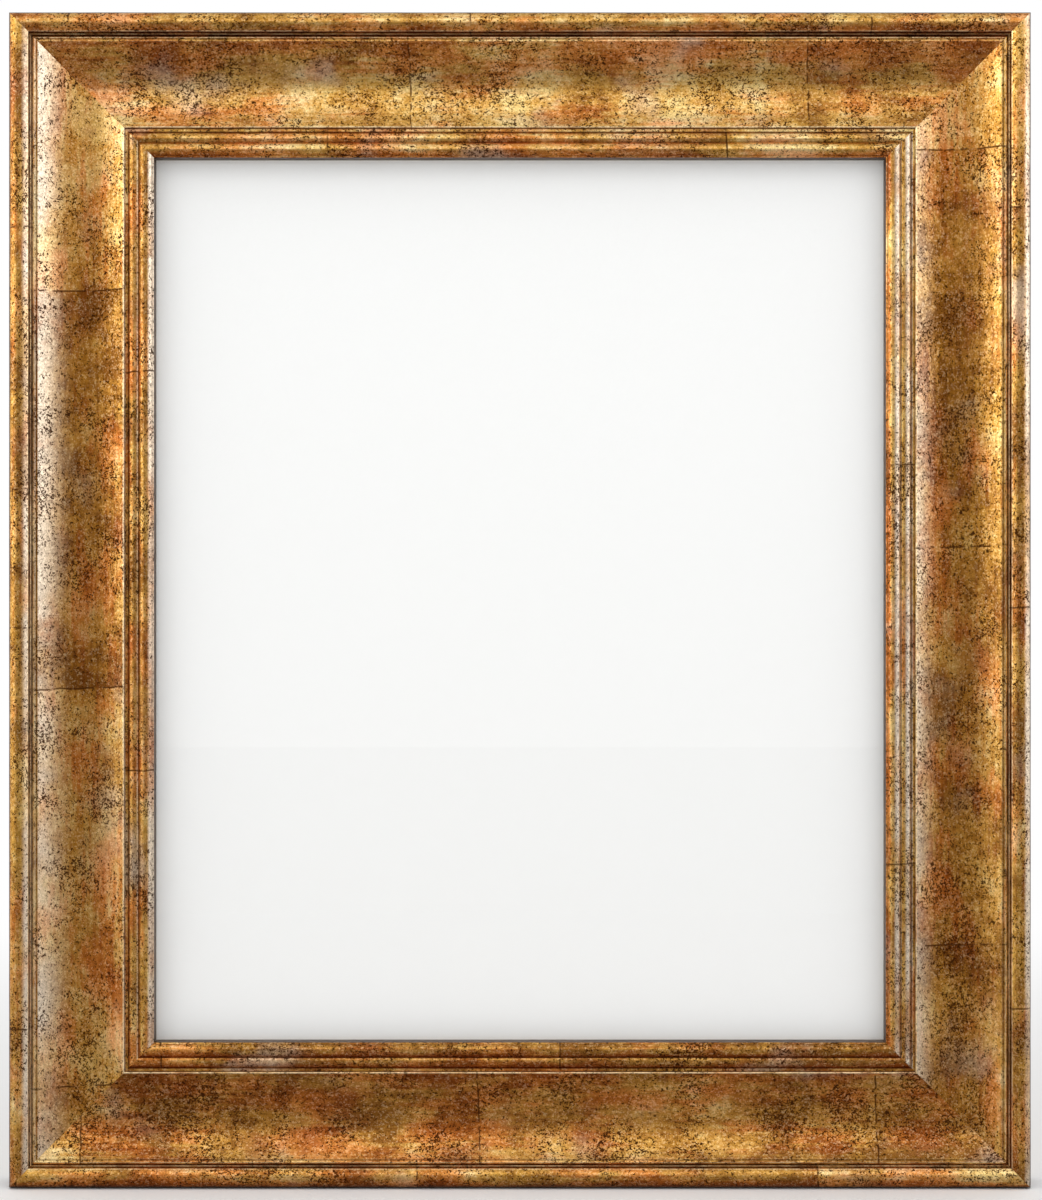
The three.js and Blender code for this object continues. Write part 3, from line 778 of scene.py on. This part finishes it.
def cross_skin():
    """The cross recess in a screw's head, narrower at its bottom."""
    arm, half = CROSS_LENGTH / 2, CROSS_WIDTH / 2
    corners = [(half, half), (half, arm), (-half, arm), (-half, half), (-arm, half), (-arm, -half)]
    corners += [(-x, -z) for x, z in corners]
    levels = ((HEAD_HEIGHT - CROSS_DEPTH, CROSS_FOOT), (HEAD_HEIGHT + CROSS_DEPTH, CROSS_MOUTH))
    return looped([[(x * scale, y, z * scale) for x, z in corners] for y, scale in levels])


def bumper_skin():
    """A rubber bumper from the wood at y = 0 to the wall, with a rounded rim and a slightly dished face."""
    radius, ease, foot_ease = BUMPER_RADIUS, BUMPER_EASE, BUMPER_FOOT_EASE
    height = -WOOD_BACK
    profile = [(AXIS_RADIUS, 0.0), (radius - foot_ease, 0.0), (radius, foot_ease), (radius, height - ease)]
    for angle in quarter_turn(BUMPER_RIM_STEPS):
        profile.append((radius - ease + ease * math.cos(angle), height - ease + ease * math.sin(angle)))
    for share in (1.0, 0.8, 0.6, 0.4, 0.2):
        profile.append((radius * BUMPER_DISH_SHARE * share, height - BUMPER_DISH * (1 - share ** 2)))
    return turned_skin(profile + [(AXIS_RADIUS, height - BUMPER_DISH)])


def placed(skin, x, y, z, turn=0.0):
    """The skin turned about the Y axis and then moved."""
    points, faces = skin
    return about_y(points, math.cos(turn), math.sin(turn)) + np.array((x, y, z)), faces


def tipped(skin, angle):
    """The skin turned about the X axis, so that what hangs below the origin swings towards +Y."""
    points, faces = skin
    return points @ np.array(Matrix.Rotation(-angle, 3, "X")), faces


def middle(node):
    low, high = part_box(node)
    return (low + high) / 2


def turn_buttons(material):
    skin = turn_button_skin()
    for side, quarter in SIDES.items():
        for letter in "ab":
            axis = middle(f"button_screw_{side}_{letter}")
            node = f"turn_button_{side}_{letter}"
            button = placed(skin, axis.x, WOOD_BACK + RUNNING_GAP, axis.z, quarter * math.pi / 2)
            dressed(node, "sheet", button, material, body=node)


def hangers(material):
    strap = strap_skin()
    eye = WIRE_RADIUS + RING_PLAY + STRAP_SHEET
    rest = math.asin((2 * STRAP_SHEET + STRAP_LAYER_GAP + RUNNING_GAP + WIRE_RADIUS - eye) / RING_DROP)
    ring = tipped(ring_skin(), rest)
    pin = turned_skin([(HOLE_RADIUS, -eye - CUTTER_SPARE), (HOLE_RADIUS, eye + CUTTER_SPARE)])
    for side in ("left", "right"):
        node = f"hanger_strap_{side}"
        x, y, z = middle(node).x, WOOD_BACK + eye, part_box(node)[1].z - eye
        piece = dressed(node, "sheet", placed(strap, x, y, z), material)
        carve(piece, [placed(pin, x, y, z - STRAP_HOLE_DROP)])
        node = f"hanger_ring_{side}"
        dressed(node, "wire", placed(ring, x, y, z), material, body=node)


def screws(material):
    screw = new_piece("screw_pattern", screw_skin(), [material])
    carve(screw, [cross_skin()])
    points = np.array([v.co for v in screw.data.vertices])
    faces = [tuple(face.vertices) for face in screw.data.polygons]
    bpy.data.objects.remove(screw)
    for index, node in enumerate(sorted(node for node in nodes if "_screw_" in node)):
        axis = middle(node)
        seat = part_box(node)[1].y - HEAD_HEIGHT
        dressed(node, "turned", placed((points, faces), axis.x, seat, axis.z, SCREW_TURN * index), material)


def bumpers(material):
    skin = bumper_skin()
    for side in ("left", "right"):
        node = f"bumper_{side}"
        axis = middle(node)
        dressed(node, "rubber", placed(skin, axis.x, WOOD_BACK, axis.z), material)


# Materials

class Nodes:
    """A node tree, with short ways to add what the materials here are made of."""

    def __init__(self, tree):
        self.tree = tree

    def feed(self, socket, value):
        if isinstance(value, bpy.types.NodeSocket):
            self.tree.links.new(value, socket)
        elif isinstance(value, tuple) and len(value) == 3 and len(socket.default_value) == 4:
            socket.default_value = (*value, 1.0)
        else:
            socket.default_value = value

    def add(self, kind, output, inputs=None, **settings):
        """Adds a node with those inputs and settings, and gives that output of it."""
        made = self.tree.nodes.new(f"ShaderNode{kind}")
        for key, value in settings.items():
            setattr(made, key, value)
        for key, value in (inputs or {}).items():
            self.feed(made.inputs[key], value)
        return made.outputs[output]

    def uv(self, along=1.0, shift=0.0):
        """The place on the leaf, stretched along the rail and shifted to another pattern."""
        leaf = self.add("UVMap", "UV", uv_map="leaf")
        scale, location = (along, 1.0, 1.0), (0.0, 0.0, shift)
        return self.add("Mapping", "Vector", {"Vector": leaf, "Scale": scale, "Location": location})

    def place(self, x=1.0, y=1.0, z=1.0):
        """The place in the object's own frame, stretched."""
        own = self.add("TexCoord", "Object")
        return self.add("Mapping", "Vector", {"Vector": own, "Scale": (x, y, z)})

    def noise(self, vector, size, detail=2.0, roughness=0.5, distortion=0.0):
        """Noise from 0 to 1 whose patches are about that size."""
        inputs = {"Vector": vector, "Scale": 1 / size, "Detail": detail}
        inputs |= {"Roughness": roughness, "Distortion": distortion}
        return self.add("TexNoise", "Fac", inputs)

    def cells(self, vector, size):
        """A value of its own from 0 to 1 for each cell of about that size."""
        return self.split(self.add("TexVoronoi", "Color", {"Vector": vector, "Scale": 1 / size}))[0]

    def attribute(self, name):
        return self.add("Attribute", "Fac", attribute_name=name)

    def split(self, vector):
        made = self.tree.nodes.new("ShaderNodeSeparateXYZ")
        self.feed(made.inputs[0], vector)
        return tuple(made.outputs)

    def math(self, operation, *values):
        return self.add("Math", 0, dict(enumerate(values)), operation=operation)

    def times(self, a, b):
        return self.math("MULTIPLY", a, b)

    def plus(self, a, b):
        return self.math("ADD", a, b)

    def most(self, a, b):
        return self.math("MAXIMUM", a, b)

    def other(self, share):
        """1 less the share."""
        return self.math("SUBTRACT", 1.0, share)

    def swing(self, value, amount):
        """How far the value is from a half, times that amount."""
        return self.times(self.plus(value, -0.5), amount)

    def step(self, value, low, high, start=0.0, end=1.0):
        """A soft step from start to end as value goes from low to high."""
        inputs = {"Value": value, "From Min": low, "From Max": high, "To Min": start, "To Max": end}
        return self.add("MapRange", 0, inputs, interpolation_type="SMOOTHSTEP")

    def mix(self, share, a, b, blend="MIX"):
        """One colour mixed with another by share."""
        return self.add("Mix", 2, {"Factor": share, 6: a, 7: b}, data_type="RGBA", blend_type=blend)

    def tinted(self, colour, tint):
        return self.mix(1.0, colour, tint, "MULTIPLY")

    def ramp(self, value, *stops):
        made = self.tree.nodes.new("ShaderNodeValToRGB")
        self.feed(made.inputs["Fac"], value)
        elements = made.color_ramp.elements
        while len(elements) < len(stops):
            elements.new(0.5)
        for element, (position, colour) in zip(elements, stops):
            element.position = position
            element.color = (*colour, 1.0)
        return made.outputs["Color"]

    def bump(self, height, distance, strength):
        return self.add("Bump", "Normal", {"Distance": distance, "Strength": strength, "Height": height})

    def blend(self, share, a, b):
        """One shader mixed with another by share."""
        return self.add("MixShader", 0, {0: share, 1: a, 2: b})

    def rays(self, *kinds):
        """1 for rays of those kinds, and 0 for the others."""
        path = self.tree.nodes.new("ShaderNodeLightPath")
        found = path.outputs[f"Is {kinds[0]} Ray"]
        for kind in kinds[1:]:
            found = self.most(found, path.outputs[f"Is {kind} Ray"])
        return found


class Shader(Nodes):
    """A material, with its surface at hand."""

    def __init__(self, name):
        self.material = bpy.data.materials.new(name)
        self.material.use_nodes = True
        super().__init__(self.material.node_tree)
        self.surface = self.tree.nodes["Principled BSDF"]
        self.output = self.tree.nodes["Material Output"]

    def set(self, **values):
        """Sets the surface's sockets, by their names in lower case with _ for a space."""
        for name, value in values.items():
            title = name.replace("_", " ").title().replace("Ior", "IOR")
            self.feed(self.surface.inputs[title], value)

    def show(self, share, shader):
        """Shows another shader in the surface's place, by share."""
        self.feed(self.output.inputs["Surface"], self.blend(share, self.surface.outputs[0], shader))


BRONZE = (0.28, 0.115, 0.022)
OLD_GOLD = (0.47, 0.225, 0.045)
GOLD = (0.63, 0.335, 0.080)
PALE_GOLD = (0.82, 0.58, 0.26)
SILVER = (0.68, 0.56, 0.43)
BRIGHT = (0.92, 0.75, 0.46)
BOLE = (0.34, 0.115, 0.045)
# dark wax for flecks, leaf joins and corners, where in the corners it is also painted shade
WAX_AND_SHADE = (0.062, 0.018, 0.004)
AMBER = (0.72, 0.58, 0.40)
DEEP_GLAZE = (0.95, 0.56, 0.46)
RED_GLAZE = (1.06, 0.80, 0.76)
OLIVE_GLAZE = (0.98, 0.98, 0.80)
GLASS_TINT = (0.996, 0.998, 0.996)


def grey(level):
    return (level,) * 3


WHITE = grey(1.0)


def ground_grain(s):
    """The ground's grain: crisp granules of two sizes on ragged noise."""
    ragged = s.noise(s.uv(0.9, 2.3), 0.9 * MM, 4.0, 0.8)
    granule = s.cells(s.uv(0.9, 5.9), 0.36 * MM)
    clump = s.cells(s.uv(0.85, 8.8), 0.8 * MM)
    return s.plus(s.times(ragged, 0.35), s.plus(s.times(granule, 0.40), s.times(clump, 0.25)))


def leaf_count(s):
    """How many leaves along its strip each place is, the leaves' edges a little slanted and ragged."""
    along, across, _ = s.split(s.uv())
    drift = s.swing(s.noise(s.uv(), 5 * MM, 3.0), 1.3 * MM)
    slanted = s.plus(s.plus(along, drift), s.times(across, 0.03))
    return s.math("DIVIDE", slanted, LEAF_PITCH)


def leaf_joins(s, count):
    """The broken dark lines between one leaf and the next."""
    edge = s.math("ABSOLUTE", s.plus(s.math("FRACT", s.plus(count, 0.5)), -0.5))
    join = s.step(edge, 0.0012, 0.0032, 1.0, 0.0)
    return s.times(join, s.step(s.noise(s.uv(shift=4.4), 3 * MM, 3.0), 0.36, 0.50))


def leaf_tone(s, count, mottle, strokes):
    """How light the leaf is: in patches, with a tone of its own for each leaf, mottled and brushed, and
    with light and shade painted by rail, on the bead, and where it faces down or, at the sight edge,
    sideways.
    """
    own = s.add("TexWhiteNoise", "Value", {"W": s.math("FLOOR", count)}, noise_dimensions="1D")
    # the tone mark carries painted light and shade
    tone = s.plus(s.noise(s.uv(), 24 * MM, 5.0, 0.6), s.attribute("tone"))
    tone = s.plus(tone, s.plus(s.swing(own, 0.14), s.swing(mottle, 0.45)))
    tone = s.plus(tone, s.swing(strokes, 0.35))
    return s.plus(s.swing(tone, 1.2), 0.5)


def leaf_glaze(s, strokes):
    """The glaze's tint, from a deep red-brown one to a thin olive one, deeper where shade is painted by
    rail and on faces turned down.
    """
    glaze = s.plus(s.noise(s.uv(0.4, 15.0), 11 * MM, 4.0, 0.6), s.swing(strokes, 0.25))
    # the glaze mark carries painted shade
    glaze = s.plus(glaze, s.attribute("glaze"))
    return s.ramp(glaze, (0.26, DEEP_GLAZE), (0.40, RED_GLAZE), (0.50, WHITE), (0.64, OLIVE_GLAZE))


def leaf_material():
    """Metal leaf over a red-brown ground, glazed amber, rubbed, flecked and waxed in its quirks, with
    painted light and shade: a silvery sheen on faces turned to +X, highlights on edges, and shade in
    corners, in the scoop, by rail and on faces turned down.
    """
    s = Shader("leafed_wood")
    hue = s.noise(s.uv(shift=3.1), 34 * MM, 3.0, 0.55)
    red = s.noise(s.uv(shift=7.7), 28 * MM, 5.0, 0.62)
    crowd = s.noise(s.uv(shift=11.3), 20 * MM, 5.0, 0.66)
    mottle = s.noise(s.uv(shift=1.3), 4.0 * MM, 4.0, 0.65)
    strokes = s.noise(s.uv(0.06, 13.0), 1.3 * MM, 3.0, 0.6)
    grain = ground_grain(s)
    count = leaf_count(s)

    # the glazed leaf, silvery where it is bare and with a painted silvery sheen on faces turned to +X,
    # red-brown where the ground shows
    tone = leaf_tone(s, count, mottle, strokes)
    colour = s.ramp(tone, (0.32, BRONZE), (0.44, OLD_GOLD), (0.56, GOLD), (0.74, PALE_GOLD))
    colour = s.tinted(colour, leaf_glaze(s, strokes))
    # painted sheen: silver on faces turned to +X, in patches; bare silver also shows in random patches
    bare_and_sheen = s.times(s.step(s.attribute("facing"), 0.15, 0.55), s.step(hue, 0.34, 0.56, 0.35, 1.0))
    bare_and_sheen = s.most(bare_and_sheen, s.step(hue, 0.58, 0.74, 0.0, 0.5))
    colour = s.mix(bare_and_sheen, colour, SILVER)
    ground = s.step(s.plus(red, s.swing(mottle, 0.4)), 0.53, 0.70, 0.0, 0.5)
    colour = s.mix(ground, colour, BOLE)
    # amber glaze in the scoop, partly painted shade darkening its middle
    colour = s.mix(s.attribute("hollow"), colour, s.tinted(colour, AMBER))

    # bright flakes, and dark flecks that are crowded in some places
    flake = s.step(grain, 0.60, 0.74)
    colour = s.mix(s.times(flake, 0.20), colour, s.mix(1.0, colour, BRIGHT, "SCREEN"))
    limit = s.step(crowd, 0.40, 0.66, 0.28, 0.48)
    dark = s.step(s.math("SUBTRACT", limit, grain), -0.02, 0.05)
    dark = s.most(dark, s.times(leaf_joins(s, count), 0.9))

    # bright rubbed edges that are partly painted highlight, and wax in the corners and flecks, with painted
    # shade in the corners
    rubbed = s.step(s.noise(s.uv(0.5, 9.1), 3 * MM, 4.0), 0.38, 0.56, 0.25, 0.7)
    # rubbed edges brightened, partly as a painted highlight
    worn_and_highlight = s.times(s.step(s.attribute("edge"), 0.22, 0.6), rubbed)
    colour = s.mix(worn_and_highlight, colour, BRIGHT)
    dark = s.times(dark, s.other(s.times(worn_and_highlight, 0.6)))
    # wax with painted shade in the corners, the shade weaker on faces turned to +X
    corner = s.step(s.plus(s.attribute("corner"), s.swing(mottle, 0.3)), 0.20, 0.50)
    facing_shade = s.step(s.attribute("facing"), 0.0, 0.4, 0.55, 0.30)
    dark = s.most(dark, s.times(corner, facing_shade))
    colour = s.mix(s.times(dark, 0.92), colour, WAX_AND_SHADE)

    sand = s.ramp(grain, (0.28, grey(0.68)), (0.50, grey(0.98)), (0.74, grey(1.16)))
    roughness = s.plus(s.step(grain, 0.42, 0.60, 0.37, 0.28), s.times(dark, 0.2))
    s.set(base_color=s.tinted(colour, sand), metallic=1.0, roughness=roughness)
    soft = s.noise(s.uv(0.8, 17.0), 0.6 * MM, 2.0)
    s.set(normal=s.bump(s.plus(soft, s.times(dark, -0.3)), 0.05 * MM, 0.5))
    return s.material


def side_material():
    """Dark bronze paint on the moulding's outer side."""
    s = Shader("side_paint")
    streak = s.noise(s.uv(0.05), 1.2 * MM, 3.0, 0.6)
    patch = s.noise(s.uv(shift=1.7), 18 * MM, 4.0, 0.6)
    chip = s.step(s.noise(s.uv(shift=6.1), 1.6 * MM, 4.0, 0.7), 0.66, 0.70)
    colour = s.ramp(patch, (0.35, (0.060, 0.030, 0.015)), (0.65, (0.115, 0.062, 0.030)))
    colour = s.tinted(colour, s.ramp(streak, (0.3, grey(0.8)), (0.7, grey(1.25))))
    colour = s.mix(s.times(chip, 0.7), colour, BOLE)
    s.set(base_color=colour, metallic=0.35, roughness=0.5, normal=s.bump(streak, 0.08 * MM, 0.5))
    return s.material


def wood_material():
    """Bare softwood, its grain along the rail."""
    s = Shader("raw_wood")
    ring = s.noise(s.uv(0.03, 2.0), 2.4 * MM, 3.0, 0.55, 0.6)
    fibre = s.noise(s.uv(0.02, 8.0), 0.35 * MM, 3.0, 0.6)
    patch = s.noise(s.uv(0.3, 5.0), 30 * MM, 3.0)
    early, middling, late = (0.52, 0.34, 0.18), (0.66, 0.48, 0.29), (0.74, 0.57, 0.37)
    colour = s.ramp(ring, (0.30, early), (0.50, middling), (0.68, late))
    colour = s.mix(s.step(patch, 0.3, 0.7, 0.0, 0.35), colour, (0.56, 0.40, 0.24))
    colour = s.tinted(colour, s.ramp(fibre, (0.3, grey(0.86)), (0.7, grey(1.08))))
    s.set(base_color=colour, roughness=0.75, normal=s.bump(fibre, 0.12 * MM, 0.6))
    return s.material


def glass_material():
    """Clear picture glass that lets the lamps through to the print."""
    s = Shader("glass")
    s.set(base_color=GLASS_TINT, transmission_weight=1.0, ior=1.5, roughness=0.0, specular_ior_level=0.1)
    s.show(s.rays("Shadow", "Diffuse"), s.add("BsdfTransparent", 0, {"Color": GLASS_TINT}))
    return s.material


def paper_material():
    """The blank sheet, white with a faint tooth."""
    s = Shader("paper")
    tooth = s.noise(s.place(), 0.5 * MM, 3.0)
    colour = s.ramp(tooth, (0.3, (0.93, 0.93, 0.925)), (0.7, (0.95, 0.95, 0.945)))
    s.set(base_color=colour, roughness=0.8, specular_ior_level=0.2, normal=s.bump(tooth, 0.03 * MM, 0.3))
    return s.material


def card_material():
    """Grey-brown filler card."""
    s = Shader("card")
    fibre = s.noise(s.place(1.0, 0.2, 1.0), 1.1 * MM, 4.0, 0.7)
    colour = s.ramp(fibre, (0.3, (0.34, 0.26, 0.18)), (0.7, (0.50, 0.40, 0.29)))
    s.set(base_color=colour, roughness=0.9, normal=s.bump(fibre, 0.1 * MM, 0.5))
    return s.material


def hardboard_material():
    """Brown hardboard with pressed fibres."""
    s = Shader("hardboard")
    fibre = s.noise(s.place(), 1.4 * MM, 5.0, 0.7, 0.8)
    cloud = s.noise(s.place(), 40 * MM, 3.0)
    dark, middling, pale = (0.10, 0.052, 0.026), (0.19, 0.105, 0.055), (0.30, 0.18, 0.10)
    colour = s.ramp(fibre, (0.28, dark), (0.50, middling), (0.74, pale))
    colour = s.mix(s.step(cloud, 0.35, 0.65, 0.0, 0.35), colour, (0.24, 0.135, 0.07))
    s.set(base_color=colour, roughness=0.62, normal=s.bump(fibre, 0.1 * MM, 0.5))
    return s.material


def metal_material(name, colour, dull, roughness):
    """Plated sheet or wire with fine scratches and a little tarnish."""
    s = Shader(name)
    tarnish = s.noise(s.place(), 5 * MM, 5.0, 0.65)
    spot = s.noise(s.place(), 0.9 * MM, 3.0, 0.6)
    scratch = s.noise(s.place(1.0, 1.0, 0.05), 0.22 * MM, 2.0)
    shade = s.mix(s.step(tarnish, 0.45, 0.70, 0.0, 0.55), colour, dull)
    shade = s.mix(s.step(spot, 0.64, 0.72, 0.0, 0.5), shade, dull)
    s.set(
        base_color=shade,
        metallic=1.0,
        roughness=s.plus(s.step(tarnish, 0.4, 0.7, roughness, roughness + 0.14), s.times(scratch, 0.08)),
        normal=s.bump(s.plus(scratch, s.times(spot, 0.6)), 0.03 * MM, 0.5),
    )
    return s.material


def rubber_material():
    """Matt black rubber with a little dust."""
    s = Shader("rubber")
    dust = s.noise(s.place(), 0.6 * MM, 4.0, 0.7)
    colour = s.ramp(dust, (0.4, (0.030, 0.029, 0.028)), (0.75, (0.085, 0.082, 0.078)))
    s.set(base_color=colour, roughness=0.72, normal=s.bump(dust, 0.05 * MM, 0.5))
    return s.material


# Assembly

rail_materials = [leaf_material(), side_material(), wood_material()]
for side in SIDES:
    rail(side, rail_materials)

slot_materials = {
    "zinc_steel": metal_material("zinc_steel", (0.66, 0.67, 0.69), (0.42, 0.42, 0.41), 0.28),
    "brass_plate": metal_material("brass_plate", (0.72, 0.52, 0.23), (0.42, 0.27, 0.11), 0.26),
    "glass": glass_material(),
    "paper": paper_material(),
    "card": card_material(),
    "hardboard": hardboard_material(),
    "rubber": rubber_material(),
}
turn_buttons(slot_materials["brass_plate"])
hangers(slot_materials["brass_plate"])
screws(slot_materials["zinc_steel"])
bumpers(slot_materials["rubber"])
for node, slot in SLOTS.items():
    if slot in slot_materials:
        for place in nodes[node].material_slots:
            place.material = slot_materials[slot]


# The studio

FLOOR_NEAR = 0.25
FLOOR_FAR = 0.90
FLOOR_REACH = 3.0
FLOOR_TONE = 0.92
AMBIENT = 0.85  # what reaches matt surfaces
METAL_FRONT = 0.44  # what metal sees straight ahead of it
METAL_LEFT = 1.55  # what metal sees more at the left
METAL_RIGHT = 1.15  # and at the right
METAL_LOW = 0.55  # times as much of all that, lower down
METAL_RISE = 1.4  # and higher up
METAL_FLOOR = 0.60  # what metal sees below it in front, near by


def floor_material():
    """A pale floor that keeps the object's shadow near it and ends in plain white far off."""
    s = Shader("pale_floor")
    place = s.add("TexCoord", "Object")
    _, depth, _ = s.split(place)
    distance = s.add("VectorMath", "Value", {0: place}, operation="LENGTH")
    front = s.times(s.rays("Glossy"), s.step(depth, 0.02, -0.02))
    tone = s.mix(front, grey(FLOOR_TONE), grey(METAL_FLOOR))
    s.set(base_color=tone, roughness=0.9, specular_ior_level=0.1)
    share = s.times(s.rays("Camera", "Transmission", "Glossy"), s.step(distance, FLOOR_NEAR, FLOOR_FAR))
    s.show(share, s.add("Emission", 0, {"Color": s.mix(front, WHITE, grey(METAL_FRONT))}))
    return s.material


def floor():
    reach = FLOOR_REACH
    corners = [(-reach, -reach, 0), (reach, -reach, 0), (reach, reach, 0), (-reach, reach, 0)]
    piece = new_piece("floor", (corners, [(0, 1, 2, 3)]), [floor_material()], smooth=False)
    piece.location.z = -HALF_HEIGHT


def world():
    """White behind the object for the camera, glass and metal. In front, metal sees bright sides."""
    studio = bpy.data.worlds.new("studio")
    bpy.context.scene.world = studio
    studio.use_nodes = True
    s = Nodes(studio.node_tree)
    across, depth, height = s.split(s.add("TexCoord", "Generated"))
    left = s.step(across, -0.9, -0.4, METAL_LEFT, 0.0)
    right = s.step(across, 0.4, 0.9, METAL_FRONT, METAL_FRONT + METAL_RIGHT)
    sides = s.times(s.plus(left, right), s.step(height, -0.20, 0.12, METAL_LOW, METAL_RISE))
    behind = s.times(s.step(depth, -0.05, 0.35), s.step(height, 0.25, 0.7, 1.0, 0.45))
    metal = s.plus(s.times(sides, s.other(behind)), behind)
    glossy = s.rays("Glossy")
    plain = s.plus(s.times(glossy, metal), s.times(s.other(glossy), AMBIENT))
    seen = s.rays("Camera", "Transmission")
    background = s.tree.nodes["Background"]
    s.feed(background.inputs["Color"], WHITE)
    s.feed(background.inputs["Strength"], s.plus(seen, s.times(s.other(seen), plain)))


def softbox(name, place, aim, width, height, brightness):
    """A soft lamp whose face has that brightness, where 1 is white."""
    lamp = bpy.data.lights.new(name, "AREA")
    lamp.shape = "RECTANGLE"
    lamp.size = width
    lamp.size_y = height
    lamp.energy = brightness * math.pi * width * height
    holder = bpy.data.objects.new(name, lamp)
    bpy.context.scene.collection.objects.link(holder)
    holder.location = place
    holder.rotation_euler = (Vector(aim) - Vector(place)).to_track_quat("-Z", "Y").to_euler()
    holder.visible_camera = False


def lamps():
    for side in (-1, 1):
        place = (side * 0.85, -1.1, 0.5)
        softbox(f"key_{side}", place, (0, 0, 0.1), width=0.45, height=0.8, brightness=0.5)
    softbox("front", (0, -1.1, 0.72), (0, 0, 0.2), width=1.2, height=0.8, brightness=0.9)
    softbox("overhead", (0, -0.4, 1.3), (0, 0, 0), width=1.2, height=0.8, brightness=0.5)


def camera():
    data = bpy.data.cameras.new("camera")
    data.sensor_width = SENSOR
    data.lens = SENSOR * CAMERA_DISTANCE / (PHOTO_HEIGHT * PHOTO_SCALE)
    holder = bpy.data.objects.new("camera", data)
    bpy.context.scene.collection.objects.link(holder)
    bead_plane = cad_box[0].y + BEAD_RADIUS
    holder.location = (PHOTO_OFFSET * PHOTO_SCALE, bead_plane - CAMERA_DISTANCE, 0)
    holder.rotation_euler = (math.pi / 2, 0, 0)
    bpy.context.scene.camera = holder


floor()
world()
lamps()
camera()
bpy.context.scene.view_settings.view_transform = "Standard"
